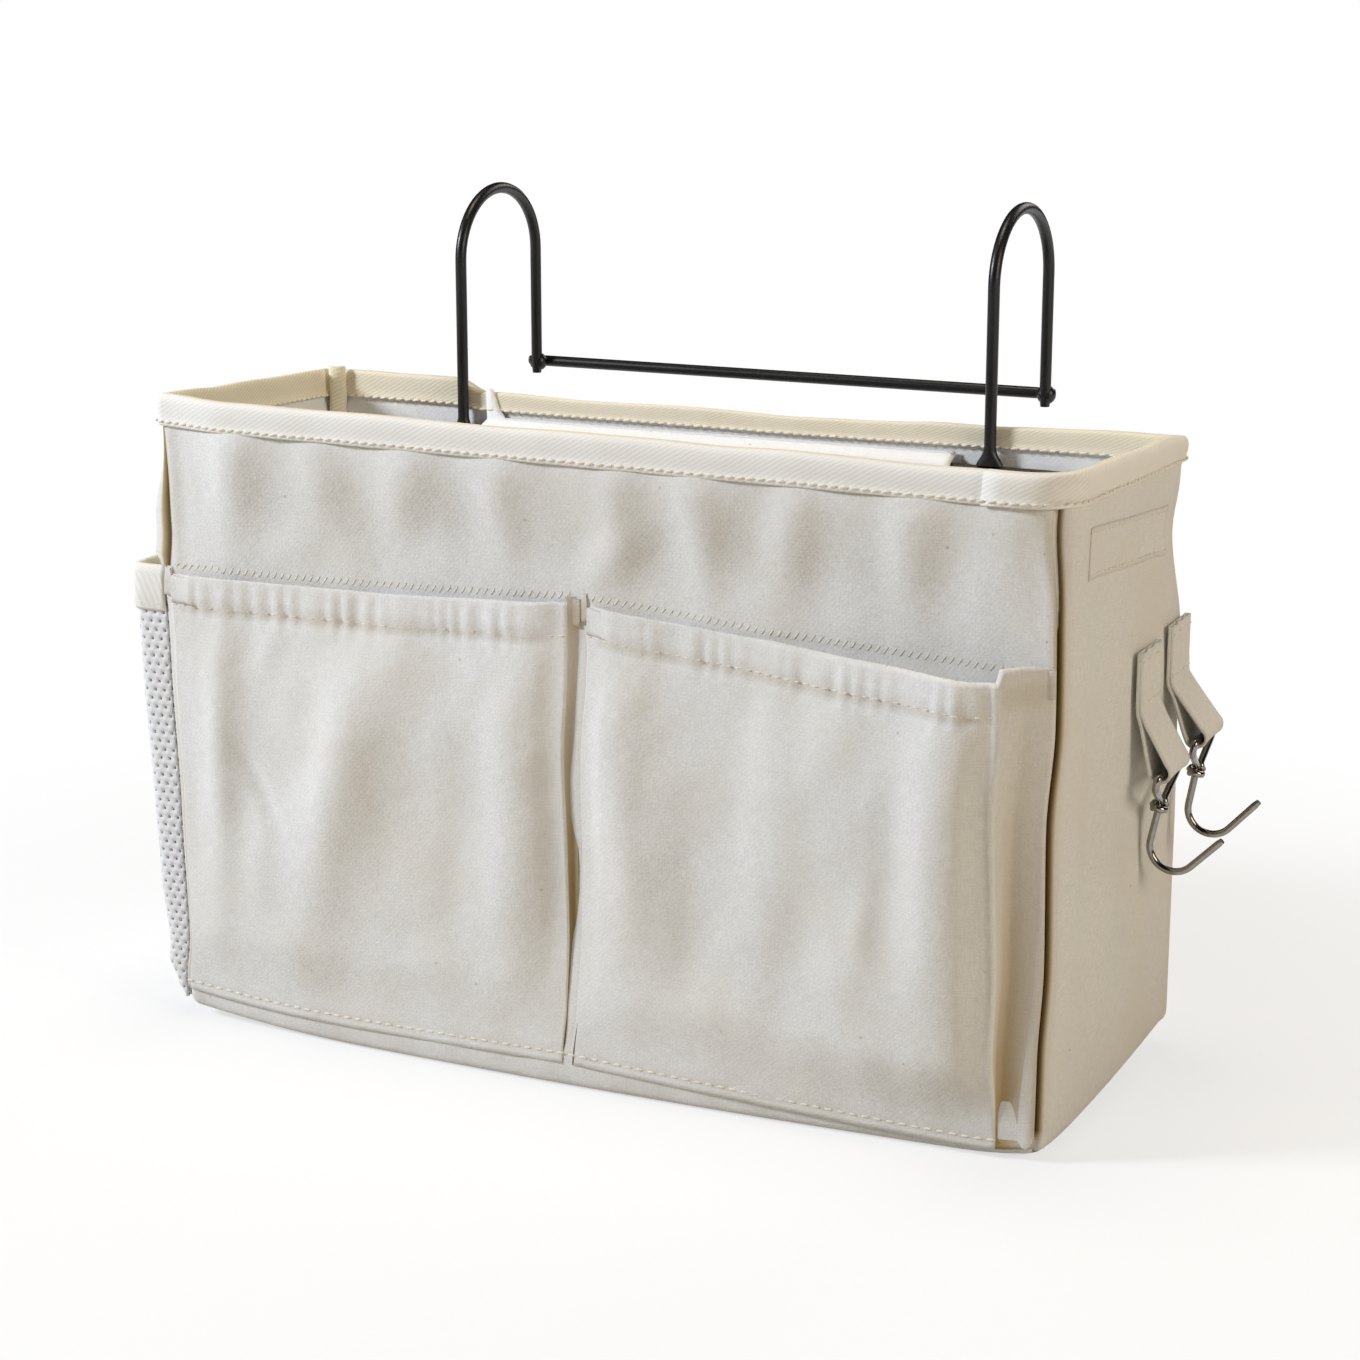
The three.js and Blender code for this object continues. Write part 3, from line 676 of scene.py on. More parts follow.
def basePoint(side, station, inset, z):
    p = wallPoint(side, station, z * mm, 0.0, z > 1)[0]
    return Vector((p.x * (1 - inset * mm / halfWidth), p.y * (1 - inset * mm / halfDepth), p.z))


# rings that close a floor inside its edge
def addRings(edge, z, rows, uvs):
    for share in bag["baseRings"]:
        ring = [Vector((p.x * share, p.y * share, z)) for p in edge]
        rows.append([settle(p) for p in ring])
        uvs.append([(p.x, p.y) for p in ring + ring[:1]])


def makeCanvas(materials):
    stations = loopStations()
    stretch = roundUv(stations, 0.1)
    rows = []
    uvs = []
    addRings([basePoint(*place, *bag["baseEdge"][0]) for place in stations], 0, rows, uvs)
    for inset, z in bag["baseEdge"]:
        rows.append([settle(basePoint(*place, inset, z)) for place in stations])
        uvs.append([(s, (z - inset) * mm) for s in stretch])
    creases = [[0.0] * len(stations) for row in rows]
    lowest = bag["baseEdge"][-1][1]
    for i in range(1, bag["wallRows"] + 1):
        z = mix(lowest, bag["wallTop"], i / bag["wallRows"]) * mm
        underRim = 1 - ease(0.94, 0.97, z / rimTop)
        row = []
        for side, station in stations:
            flat, facing = wallPoint(side, station, z)
            a = flat.x if side[0] in ("front", "back") else flat.y
            calm = ease(0, bag["calm"] * mm, planPoint(side, station, z)[3]) * underRim
            row.append(settle(flat) + facing * wallRelief(side[0], a, z) * calm)
        rows.append(row)
        uvs.append([(s, z) for s in stretch])
        # painted shade down the corner seams
        creases.append([seamShade(*place, z) for place in stations])
    shell = clothPiece("canvasShell", rows, uvs, materials["canvas"], bag["canvas"] * mm, wrap=True,
                       cap=settle((0, 0, 0)), creases=creases)
    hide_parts("bottom_panel", "front_panel", "back_panel", "left_panel", "right_panel")
    print("canvas shell", len(shell.data.polygons), "faces")


# Geometry Nodes: rows of stitches, swept wires and the knitted net

def nodeTool(name, sockets):
    tree = bpy.data.node_groups.new(name, "GeometryNodeTree")
    for label, kind in [("Geometry", "Geometry")] + sockets + [("Material", "Material")]:
        tree.interface.new_socket(label, in_out="INPUT", socket_type="NodeSocket" + kind)
    tree.interface.new_socket("Geometry", in_out="OUTPUT", socket_type="NodeSocketGeometry")
    return tree, addNode(tree, "NodeGroupInput").outputs


def endTool(tree, shape, given):
    soft = addNode(tree, "GeometryNodeSetShadeSmooth", {"Geometry": shape})
    whole = addNode(tree, "GeometryNodeRealizeInstances", {"Geometry": soft.outputs[0]})
    made = addNode(tree, "GeometryNodeSetMaterial", {"Geometry": whole.outputs[0],
                                                     "Material": given["Material"]})
    addNode(tree, "NodeGroupOutput", {"Geometry": made.outputs[0]})
    return tree


def runTool(piece, tree, values):
    tool = piece.modifiers.new(tree.name, "NODES")
    tool.node_group = tree
    for item in tree.interface.items_tree:
        if item.in_out == "INPUT" and item.name in values:
            tool[item.identifier] = values[item.name]
    return bake(piece)


# a grain-shaped stitch at every pitch along a path, turned to the cloth's outward side
def makeStitchTool():
    tree, given = nodeTool("stitchRow", [("Pitch", "Float"), ("Size", "Vector"), ("Lean", "Float")])
    path = addNode(tree, "GeometryNodeMeshToCurve", {"Mesh": given["Geometry"]})
    spaced = addNode(tree, "GeometryNodeResampleCurve", {"Curve": path.outputs[0],
                                                         "Length": given["Pitch"]}, mode="LENGTH")
    tangent = addNode(tree, "GeometryNodeInputTangent")
    outward = addNode(tree, "GeometryNodeInputNamedAttribute", {"Name": "faceOut"}, data_type="FLOAT_VECTOR")
    along = addNode(tree, "FunctionNodeAlignRotationToVector", {"Vector": tangent.outputs[0]}, axis="X")
    upright = addNode(tree, "FunctionNodeAlignRotationToVector", {
        "Rotation": along.outputs[0], "Vector": outward.outputs["Attribute"]}, axis="Z", pivot_axis="X")
    lean = addNode(tree, "ShaderNodeCombineXYZ", {"Z": given["Lean"]})
    turn = addNode(tree, "FunctionNodeEulerToRotation", {0: lean.outputs[0]})
    turned = addNode(tree, "FunctionNodeRotateRotation", {
        "Rotation": upright.outputs[0], "Rotate By": turn.outputs[0]}, rotation_space="LOCAL")
    grain = addNode(tree, "GeometryNodeMeshUVSphere", {"Segments": 6, "Rings": 5, "Radius": 0.5})
    placed = addNode(tree, "GeometryNodeInstanceOnPoints", {
        "Points": spaced.outputs[0], "Instance": grain.outputs["Mesh"], "Rotation": turned.outputs[0],
        "Scale": given["Size"]})
    return endTool(tree, placed.outputs[0], given)


# a round wire swept along a path, thicker or thinner by the path's own girth
def makeWireTool():
    tree, given = nodeTool("wireSweep", [("Radius", "Float"), ("Sides", "Int")])
    path = addNode(tree, "GeometryNodeMeshToCurve", {"Mesh": given["Geometry"]})
    swell = addNode(tree, "GeometryNodeInputNamedAttribute", {"Name": "girth"}, data_type="FLOAT")
    ring = addNode(tree, "GeometryNodeCurvePrimitiveCircle", {"Resolution": given["Sides"],
                                                              "Radius": given["Radius"]})
    tube = addNode(tree, "GeometryNodeCurveToMesh", {
        "Curve": path.outputs[0], "Profile Curve": ring.outputs["Curve"],
        "Scale": swell.outputs["Attribute"], "Fill Caps": True})
    return endTool(tree, tube.outputs[0], given)


# a flat sheet of staggered six-sided holes
def makeNetTool():
    tree, given = nodeTool("knittedNet", [("Width", "Float"), ("Height", "Float"), ("Columns", "Int"),
                                          ("Rows", "Int"), ("Hole", "Float")])
    grid = addNode(tree, "GeometryNodeMeshGrid", {
        "Size X": given["Width"], "Size Y": given["Height"], "Vertices X": given["Columns"],
        "Vertices Y": given["Rows"]})
    row = reckon(tree, "MODULO", addNode(tree, "GeometryNodeInputIndex").outputs[0], given["Rows"])
    pitch = reckon(tree, "DIVIDE", given["Width"], given["Columns"])
    slide = reckon(tree, "MULTIPLY", reckon(tree, "MULTIPLY", pitch, 0.5), reckon(tree, "MODULO", row, 2.0))
    shift = addNode(tree, "ShaderNodeCombineXYZ", {"X": slide})
    moved = addNode(tree, "GeometryNodeSetPosition", {"Geometry": grid.outputs["Mesh"],
                                                      "Offset": shift.outputs[0]})
    split = addNode(tree, "GeometryNodeTriangulate", {"Mesh": moved.outputs[0]},
                    quad_method="SHORTEST_DIAGONAL")
    cells = addNode(tree, "GeometryNodeDualMesh", {"Mesh": split.outputs[0]})
    inset = addNode(tree, "GeometryNodeExtrudeMesh", {"Mesh": cells.outputs[0], "Offset Scale": 0.0,
                                                      "Individual": True}, mode="FACES")
    drawn = addNode(tree, "GeometryNodeScaleElements", {
        "Geometry": inset.outputs["Mesh"], "Selection": inset.outputs["Top"], "Scale": given["Hole"]},
        domain="FACE")
    holed = addNode(tree, "GeometryNodeDeleteGeometry", {
        "Geometry": drawn.outputs[0], "Selection": inset.outputs["Top"]}, domain="FACE", mode="ONLY_FACE")
    return endTool(tree, holed.outputs[0], given)


# paths as lists of (point, outward, girth)
def pathPiece(name, paths, body="bag"):
    steps = [step for path in paths for step in path]
    edges = []
    first = 0
    for path in paths:
        edges += [(first + i, first + i + 1) for i in range(len(path) - 1)]
        first += len(path)
    mesh = bpy.data.meshes.new(name)
    mesh.from_pydata([step[0] for step in steps], edges, [])
    facing = mesh.attributes.new("faceOut", "FLOAT_VECTOR", "POINT")
    facing.data.foreach_set("vector", [c for step in steps for c in step[1]])
    swell = mesh.attributes.new("girth", "FLOAT", "POINT")
    swell.data.foreach_set("value", [step[2] if len(step) > 2 else 1.0 for step in steps])
    return linkPiece(name, mesh, None, body)


# row of stitches: pitch, size of a stitch (long, wide, high) in mm, lean in radians
sewing = {"rim": (3.4, (3.0, 0.95, 0.8), 0.15), "hem": (3.6, (2.6, 0.7, 0.5), 0.0),
          "foot": (4.0, (3.0, 0.9, 0.7), 0.0), "overlock": (2.7, (3.0, 0.6, 0.16), 1.0),
          "patch": (3.0, (2.3, 0.6, 0.45), 0.0)}


def sew(name, kind, paths, tools, materials):
    pitch, size, lean = sewing[kind]
    return runTool(pathPiece(name, paths), tools["stitch"], {
        "Pitch": pitch * mm, "Size": Vector(size) * mm, "Lean": lean, "Material": materials["thread"]})


def wire(name, path, diameter, sideCount, tools, material, body):
    return runTool(pathPiece(name, [path], body), tools["wire"], {
        "Radius": diameter * mm / 2, "Sides": sideCount, "Material": material})


# Lining and boards

lining = {"cloth": 0.8, "rows": 40, "underRim": 2.0,
          # inset from the wall and height over the floor
          "edge": [(5.0, 0.0), (2.4, 0.5), (0.9, 1.8), (0.0, 4.5)]}


def liningPoint(side, station, z, inset):
    p = wallPoint(side, station, z, -wallThick - inset, grooved=False)[0]
    p.y = min(p.y, backInner - inset)
    return p


def makeLining(materials):
    stations = loopStations()
    stretch = roundUv(stations, 0.1)
    rows = []
    uvs = []
    edge = lining["edge"]
    addRings([liningPoint(*place, floorTop, edge[0][0] * mm) for place in stations], floorTop, rows, uvs)
    heights = [(inset, floorTop / mm + z) for inset, z in edge]
    low, high = heights[-1][1], bag["wallTop"] - lining["underRim"]
    heights += [(0.0, mix(low, high, i / lining["rows"])) for i in range(1, lining["rows"] + 1)]
    for inset, z in heights:
        rows.append([settle(liningPoint(*place, z * mm, inset * mm)) for place in stations])
        uvs.append([(s, (z - inset) * mm) for s in stretch])
    shell = clothPiece("liningShell", rows, uvs, materials["lining"], lining["cloth"] * mm, flip=True,
                       wrap=True, cap=settle((0, 0, floorTop)))
    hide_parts("bottom_lining", "front_lining", "back_lining", "left_lining", "right_lining")
    print("lining shell", len(shell.data.polygons), "faces")


boards = {"grid": (12, 24),
          # piece: its solid and the axis that it is thin along
          "pieces": {"baseSheet": ("base_board", 2), "backSheet": ("back_board", 1)}}


def makeBoards(materials):
    down, across = boards["grid"]
    for name, (node, slim) in boards["pieces"].items():
        low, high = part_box(node)
        wide = 3 - slim
        rows = []
        for i in range(down + 1):
            row = []
            for j in range(across + 1):
                p = Vector(low)
                p.x = mix(low[0], high[0], j / across)
                p[wide] = mix(low[wide], high[wide], i / down)
                p[slim] = high[slim]
                row.append(settle(p))
            rows.append(row)
        uvs = [[(p.x, p[wide]) for p in row] for row in rows]
        board = clothPiece(name, rows, uvs, materials["board"], high[slim] - low[slim], flip=slim == 1)
        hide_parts(node)


# Tape over the rim

rimTape = {"startAt": 0.134, "overlap": 4, "lap": 1.0, "lapFade": (7, 30), "thick": 0.9, "waver": 0.45,
           "stitchOut": 0.15,
           # out from the canvas face and height over the tape's foot, outer foot to inner foot
           "outer": [(0.9, 0.0), (1.5, 0.15), (1.85, 0.7), (1.8, 1.4), (1.4, 2.0), (1.3, 2.8), (1.5, 4.4),
                     (1.5, 6.2), (1.35, 7.8), (0.95, 9.0), (0.2, 9.75)],
           "inner": [(-0.9, 9.95), (-0.2, 9.5), (0.0, 8.6), (0.05, 6.5), (0.0, 4.0), (-0.05, 2.4),
                     (0.25, 1.5), (0.25, 0.7), (0.0, 0.1), (-0.5, 0.0)]}


def rimDepth(side, toSeam):
    plain = halfDepth + tapeHigh[1]
    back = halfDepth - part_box("back_rim_tape")[0][1]
    if side[0] == "back":
        return mix((plain + back) / 2, back, ease(0, 8 * mm, toSeam))
    return plain


def rimSection(side, station, lap, travelled):
    facing, toSeam = planPoint(side, station, mix(rimFoot, rimTop, 0.5))[1::2]
    depth = rimDepth(side, toSeam)
    waver = rimTape["waver"] * mm * noise.noise(Vector((travelled * 60, 3.1, 0)))
    lift = rimTape["waver"] * 1.5 * mm * noise.noise(Vector((travelled * 38, 7.7, 0)))
    points = [(out * mm + lap + waver, up) for out, up in rimTape["outer"]]
    points += [(-depth - out * mm, up) for out, up in rimTape["inner"]]
    found = []
    for out, up in points:
        p = wallPoint(side, station, rimTop * 0.99, out, grooved=False)[0]
        p.z = rimFoot + up * mm + lift * min(up / 4, 1)
        found.append(settle(p))
    return found, Vector((facing.x, facing.y, 0))


def makeRimTape(materials, tools):
    stations = loopStations()
    away = [abs(planPoint(*place, rimTop)[0].x - rimTape["startAt"]) if place[0][0] == "front" else 1
            for place in stations]
    first = away.index(min(away))
    order = stations[first:] + stations[:first + rimTape["overlap"]]
    travel = runLengths([planPoint(*place, rimTop)[0] for place in order])
    rows = []
    outerRow = []
    innerRow = []
    for (side, station), travelled in zip(order, travel):
        lap = rimTape["lap"] * mm * (1 - ease(*(d * mm for d in rimTape["lapFade"]), travelled))
        section, out = rimSection(side, station, lap, travelled)
        rows.append(section)
        outerRow.append((section[3] + out * rimTape["stitchOut"] * mm, out))
        innerRow.append((section[-3] - out * rimTape["stitchOut"] * mm, -out))
    lengths = runLengths(rows[0])
    # v runs over the section from the outer foot, so the turned-in half takes the painted tan shade
    uvs = [[(s, v) for v in lengths] for s in travel]
    tape = clothPiece("rimBinding", rows, uvs, materials["tape"], rimTape["thick"] * mm, flip=True)
    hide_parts("front_rim_tape", "back_rim_tape", "left_rim_tape", "right_rim_tape")
    sew("rimStitches", "rim", [outerRow, innerRow], tools, materials)
    print("rim binding", round(travel[-1], 3), "m round")


# Tapes over the inner corner seams

cornerTape = {"cut": 10.2, "width": 6.4, "thick": 2.0, "bow": 0.8, "squareness": 0.6, "sides": 16,
              "rows": 40, "waver": 0.5, "standUp": 1.5, "sink": (2.4, 5.2), "sideStep": 1.05}


# a closed tube over rings of points
def tubeMesh(name, rows, uvs):
    mesh = gridMesh(name, rows, uvs, wrap=True)
    columns = len(rows[0])
    work = bmesh.new()
    work.from_mesh(mesh)
    work.verts.ensure_lookup_table()
    for first in (0, (len(rows) - 1) * columns):
        work.faces.new([work.verts[first + j] for j in range(columns)])
    bmesh.ops.recalc_face_normals(work, faces=work.faces)
    work.to_mesh(mesh)
    work.free()
    return mesh


def makeCornerTapes(materials):
    cut = cornerTape
    half = cut["width"] / 2 * mm
    for side in sides:
        rank, hand = ("front" if side[1].y < 0 else "back"), ("left" if side[1].x < 0 else "right")
        node = rank + "_" + hand + "_corner_tape"
        low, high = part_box(node)
        top = rimTop + cut["standUp"] * mm if (rank, hand) == ("back", "left") else high[2]
        rows = []
        uvs = []
        for i in range(cut["rows"] + 1):
            z = mix(low[2], top, i / cut["rows"])
            place, facing = planPoint(side, ("start", 0.0), z)[:2]
            inward = Vector((-facing.x, -facing.y, 0))
            across = Vector((inward.y, -inward.x, 0))
            sway = cut["waver"] * mm * noise.noise(Vector((z * 45, place.x * 30, place.y * 30)))
            deep = wallThick * 1.35 + mix(*cut["sink"], ease(rimFoot - 6 * mm, rimFoot, z)) * mm
            centre = Vector((place.x, min(place.y, backInner + 2 * mm), z)) + inward * deep + across * sway
            ring = []
            for j in range(cut["sides"]):
                turn = 2 * math.pi * j / cut["sides"]
                c, s = math.cos(turn), math.sin(turn)
                wide = math.copysign(abs(c) ** cut["squareness"], c) * half
                slim = math.copysign(abs(s) ** cut["squareness"], s) * cut["thick"] / 2 * mm
                bow = cut["bow"] * mm * (1 - (wide / half) ** 2)
                ring.append(settle(centre + across * wide + inward * (slim + bow)))
            rows.append(ring)
            # v runs with height, so above its foot the seam tape takes the tape's painted tan shade
            uvs.append([(j * cut["sideStep"] * mm, z) for j in range(cut["sides"] + 1)])
        tape = linkPiece(hand + rank.capitalize() + "SeamTape", tubeMesh(node, rows, uvs), materials["tape"])
        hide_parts(node)


# Pockets on the front

pocketCut = {"rows": 64, "gussetColumns": 6, "faceColumns": 120, "foldColumns": 5, "fold": 1.4, "hem": 9.5,
             "hemGap": 2.0, "hemStep": 0.9, "cloth": 1.1, "footDepth": 0.9, "sewnAt": 3.4, "mouthSag": 1.3,
             "pucker": 0.55, "tuckIn": 0.85, "offWall": 0.2, "hemRows": 6, "unsewn": 24,
             "faceEdge": 0.06, "rise": (0.03, 0.2), "crumple": 1.3, "hemDip": 0.7, "footDip": 0.3,
             "seamWidth": 1.2, "hemShade": 0.16, "footShade": 0.08,
             # how the hem rolls over the mouth: share of the way in, height in mm
             "hemRoll": ((0.1, 0.8), (0.5, 1.4), (0.9, 0.8))}
pockets = {
    # x range, slant of each gusset (foot, mouth), depth at each end (low, mouth), how late the face turns
    # out (low, mouth), roll at each end (low, mouth), fall of the mouth at the seam, gusset, face, face,
    # gusset, seam, foot at each end, painted shade in each gusset (throughout, more towards the foot)
    "left": {"x": (-159.4, -2.6), "inset": ((1.6, 3.0), (3.2, 4.4)), "depth": ((3.6, 2.2), (2.6, 4.6)),
             "belly": 2.0, "turn": (1.5, 3.5), "roll": ((1.6, 1.2), (1.2, 1.2)),
             "drop": (1.0, 1.5, 3.6, 0.2, -2.6, -2.0), "seed": 11.0,
             "foot": (7.0, 9.0), "shade": ((0.0, 0.1), (0.16, 0.5)),
             "folds": [(-88, 98, 15, 66, 0.3, 6.4), (-24, 92, 11, 80, 0.04, 4.0),
                       (-138, 108, 7, 56, 0.05, 3.4), (-118, 138, 5, 16, 0.3, 1.0),
                       (-122, 60, 9, 26, 0.2, 1.4), (-42, 132, 7, 18, 0.2, 0.8),
                       (-62, 30, 14, 12, 0.7, 1.0), (-122, 86, 4, 13, -0.5, -1.4)]},
    "right": {"x": (-1.6, 158.4), "inset": ((-0.6, 2.2), (12.8, 15.2)), "depth": ((2.8, 2.4), (7.0, 20.5)),
              "belly": 2.0, "turn": (2.2, 4.6), "roll": ((1.6, 1.6), (3.0, 7.0)),
              "drop": (-3.0, -4.5, 0.2, 7.6, 3.6, 2.8), "seed": 17.0,
              "foot": (9.0, 2.6), "shade": ((0.16, 0.5), (0.03, 0.22)),
              "folds": [(127, 84, 12, 76, 0.0, 4.4), (16, 100, 11, 70, -0.06, 3.6),
                        (80, 62, 10, 24, 0.1, -2.4), (101, 72, 5, 14, 0.1, 1.2),
                        (48, 96, 13, 36, 0.1, -2.2), (84, 122, 9, 20, 0.3, 0.9),
                        (40, 30, 14, 12, 0.6, 0.9), (104, 26, 12, 14, -0.5, 0.9)]},
}


# a short curve from start to stop, drawn towards a corner
def curved(start, corner, stop, f):
    return mix(mix(start, corner, f), mix(corner, stop, f), f)


# plan of a pocket at height share t: (x, depth) and the part it is in, seam at 0 and 5, face from 2 to 3
def pocketPlan(pocket, t):
    cut = pocketCut
    x0, x1 = pocket["x"]
    grow = ease(*cut["rise"], t)
    depths = [mix(cut["footDepth"], mix(low, high, t), grow) for low, high in pocket["depth"]]
    insets = [mix(low, high, t) for low, high in pocket["inset"]]
    rolls = [mix(low, high, t) * grow for low, high in pocket["roll"]]
    tuck = cut["tuckIn"] * (1 - t ** 1.6)  # share of the gusset behind the face, none at the mouth
    ends = [max(d - r, 0.6) for d, r in zip(depths, rolls)]
    seam0, seam1 = Vector((x0, 0.0)), Vector((x1, 0.0))
    fold0, fold1 = Vector((x0 + insets[0], ends[0])), Vector((x1 - insets[1], ends[1]))
    in0 = mix(mix(seam0, fold0, 0.5), Vector((fold0.x, ends[0] * 0.12)), tuck)
    in1 = mix(mix(seam1, fold1, 0.5), Vector((fold1.x + 0.4, ends[1] * 0.12)), tuck)
    corners = [seam0, in0, fold0, fold1, in1, seam1]
    legs = [(b - a).length for a, b in zip(corners, corners[1:])]
    reach = [min(cut["fold"], 0.4 * min(pair)) for pair in zip(legs, legs[1:])]
    points = []
    for i in range(5):
        a, b = corners[i], corners[i + 1]
        way = (b - a).normalized()
        start = a if i == 0 else a + way * reach[i - 1]
        stop = b if i == 4 else b - way * reach[i]
        count = cut["faceColumns"] if i == 2 else cut["gussetColumns"]
        for k in range(count + 1):
            f = k / count
            p = mix(start, stop, f)
            if i == 2:
                lift = [r * (1 - max(1 - d / 0.1, 0) ** 2) for r, d in zip(rolls, (f, 1 - f))]
                p.y = mix(start.y, stop.y, f ** mix(*pocket["turn"], t)) + mix(*lift, ease(0.3, 0.7, f))
            points.append((p, i + f))
        if i < 4:
            leave = b + (corners[i + 2] - b).normalized() * reach[i]
            for k in range(1, cut["foldColumns"] + 1):
                points.append((curved(stop, b, leave, k / (cut["foldColumns"] + 1)), i + 1.0))
    return points


def mouthFall(pocket, share):
    return mix(*pocket["drop"][2:4], share) + pocketCut["mouthSag"] * math.sin(math.pi * share)


def pocketFall(pocket, part):
    if part < 2:
        return mix(*pocket["drop"][:2], part / 2)
    if part > 3:
        return mix(*pocket["drop"][4:], (part - 3) / 2)
    return mouthFall(pocket, part - 2)


# small upright ripples where the hem draws the cloth in
def hemPucker(pocket, x, under):
    hem = pocketCut["hem"]
    spread = noise.noise(Vector((x * 0.06, pocket["seed"], 0)))
    ripple = math.sin(x * 0.92 + 6 * spread) * max(0.5 + 1.2 * noise.noise(Vector((x * 0.04, 3, 8))), 0.1)
    return pocketCut["pucker"] * ripple * ease(-1, 3, under) * (1 - ease(hem, hem + 6, under))


# painted shade of a folded gusset: throughout, towards the foot, along its fold and at the hem
def gussetShade(pocket, part, t, under):
    hem = pocketCut["hem"]
    even, low = pocket["shade"][0 if part < 2 else 1]
    fold = bell((part - (1 if part < 2 else 4)) / 0.4)
    band = ease(2, 4, under) * (1 - ease(hem, hem + 2, under))
    return even + low * (1 - t) ** 1.5 + 0.3 * fold * (1 - t) + 0.1 * band


# points across a pocket at height share t, each with its outward side and painted shade
def pocketSurface(pocket, t, high):
    plan = pocketPlan(pocket, t)
    cut = pocketCut
    row = []
    for k, (p, part) in enumerate(plan):
        way = (plan[min(k + 1, len(plan) - 1)][0] - plan[max(k - 1, 0)][0]).normalized()
        share = clamp(part - 2)
        foot = mix(*pocket["foot"], share)
        mouth = high - pocketFall(pocket, part) * mm
        level = mix(foot * mm, mouth, t)
        under = (mouth - level) / mm
        fromEnds = ease(0, cut["faceEdge"], share) * ease(0, cut["faceEdge"], 1 - share)
        inFace = fromEnds * ease(*cut["rise"], t)
        flat = ease(0, 0.05, share) * ease(0, 0.05, 1 - share)
        belly = pocket["belly"] * math.sin(math.pi * share) * math.sin(math.pi * t ** 0.8)
        bend = foldDepth(pocket["folds"], p.x * mm, level) / mm * (1 - ease(0.82, 1.0, t) * 0.6)
        bend += crumple(p.x * mm, level, pocket["seed"]) / mm * cut["crumple"]
        line = math.exp(-(under - cut["hem"]) ** 2 / cut["seamWidth"])
        dimple = cut["hemStep"] * (1 - ease(cut["hem"] - 1.2, cut["hem"] + 0.4, under))
        dimple -= cut["hemDip"] * line
        sewn = bell((level / mm - foot - cut["sewnAt"]) / cut["seamWidth"]) * ease(0, cut["faceEdge"], share)
        bulge = (belly + bend + hemPucker(pocket, p.x, under)) * inFace
        depth = max(p.y + bulge + dimple * flat, min(p.y, 0.6)) - cut["footDip"] * sewn
        # painted shade along the hem's stitch line and along the foot's stitch line; gussets take their own
        # painted shade below
        shade = cut["hemShade"] * line * inFace + cut["footShade"] * sewn
        if part < 2 or part > 3:
            shade = gussetShade(pocket, part, t, under)
        place = settle((p.x * mm, -halfDepth - cut["offWall"] * mm - depth * mm, level))
        row.append((place, Vector((-way.y, -way.x, 0)), shade))
    return row


def makePockets(materials, tools):
    cut = pocketCut
    stitches = {"hem": [], "foot": []}
    for hand, pocket in pockets.items():
        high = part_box(hand + "_pocket")[1][2]
        low = min(pocket["foot"]) * mm
        tall = (high - low) / mm
        plan = [step[0] for step in pocketPlan(pocket, 1.0)]
        across = [s * mm for s in runLengths(plan)]
        tuck = [min(p.y / 5, 1.0) for p in plan]
        rows = []
        uvs = []
        creases = []

        def addRow(t, inward, upward, v):
            found = pocketSurface(pocket, t, high)
            rows.append([p - out * inward * k + Vector((0, 0, upward * k))
                         for (p, out, shade), k in zip(found, tuck)])
            creases.append([shade for p, out, shade in found])
            uvs.append([(s, v) for s in across])

        for i in range(cut["rows"] + 1):
            t = (i / cut["rows"]) ** 1.08
            addRow(t, 0, 0, low + t * (high - low))
        # the hem: over the mouth and down inside
        gap = cut["hemGap"] + cut["cloth"]
        for back, up in cut["hemRoll"]:
            addRow(1.0, gap * back * mm, up * mm, high + back * mm)
        for i in range(cut["hemRows"] + 1):
            t = 1 - i / cut["hemRows"] * (cut["hem"] - 0.5) / tall
            addRow(t, gap * mm, 0, high + (1 + (1 - t) * tall) * mm)
        piece = clothPiece(hand + "PocketCloth", rows, uvs, materials["canvas"], cut["cloth"] * mm,
                           creases=creases)
        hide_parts(hand + "_pocket")
        for kind, t, raised in (("hem", 1 - cut["hem"] / tall, 0.05), ("foot", cut["sewnAt"] / tall, 0.1)):
            found = pocketSurface(pocket, t, high)[cut["unsewn"]:-cut["unsewn"]]
            stitches[kind].append([(p + out * raised * mm, out) for p, out, shade in found])
        print(hand, "pocket", len(piece.data.polygons), "faces")
    for kind, paths in stitches.items():
        sew("pocket" + kind.capitalize() + "Stitches", kind, paths, tools, materials)


# Net pocket on the left side

net = {"bulge": [(0.0, 1.6), (0.03, 4.5), (0.1, 8.6), (0.3, 11.0), (0.6, 12.2), (1.0, 13.0)], "half": 59.4,
       "round": 2.6, "bow": 0.6, "pitch": 3.3, "hole": 0.3, "spare": 1.03, "yarn": 0.9,
       "hemHeight": 11.5, "hemCloth": 0.8, "hemColumns": 96}


def netPlan(t):
    wall = -halfWidth / mm
    out = between(net["bulge"], t)
    half = net["half"]
    turn = min(net["round"], out * 0.8)
    points = [Vector((wall - 0.1, -half)), Vector((wall - out + turn, -half - 0.3))]
    for k in range(1, 6):
        angle = math.pi / 2 * k / 6
        points.append(Vector((wall - out + turn - turn * math.sin(angle),
                              -half + turn - turn * math.cos(angle))))
    points.append(Vector((wall - out, -half + turn)))
    mirrored = [Vector((p.x, -p.y)) for p in reversed(points)]
    middle = [Vector((wall - out - net["bow"] * math.sin(math.pi * k / 8),
                      mix(-half + turn, half - turn, k / 8)))
              for k in range(1, 8)]
    return points + middle + mirrored


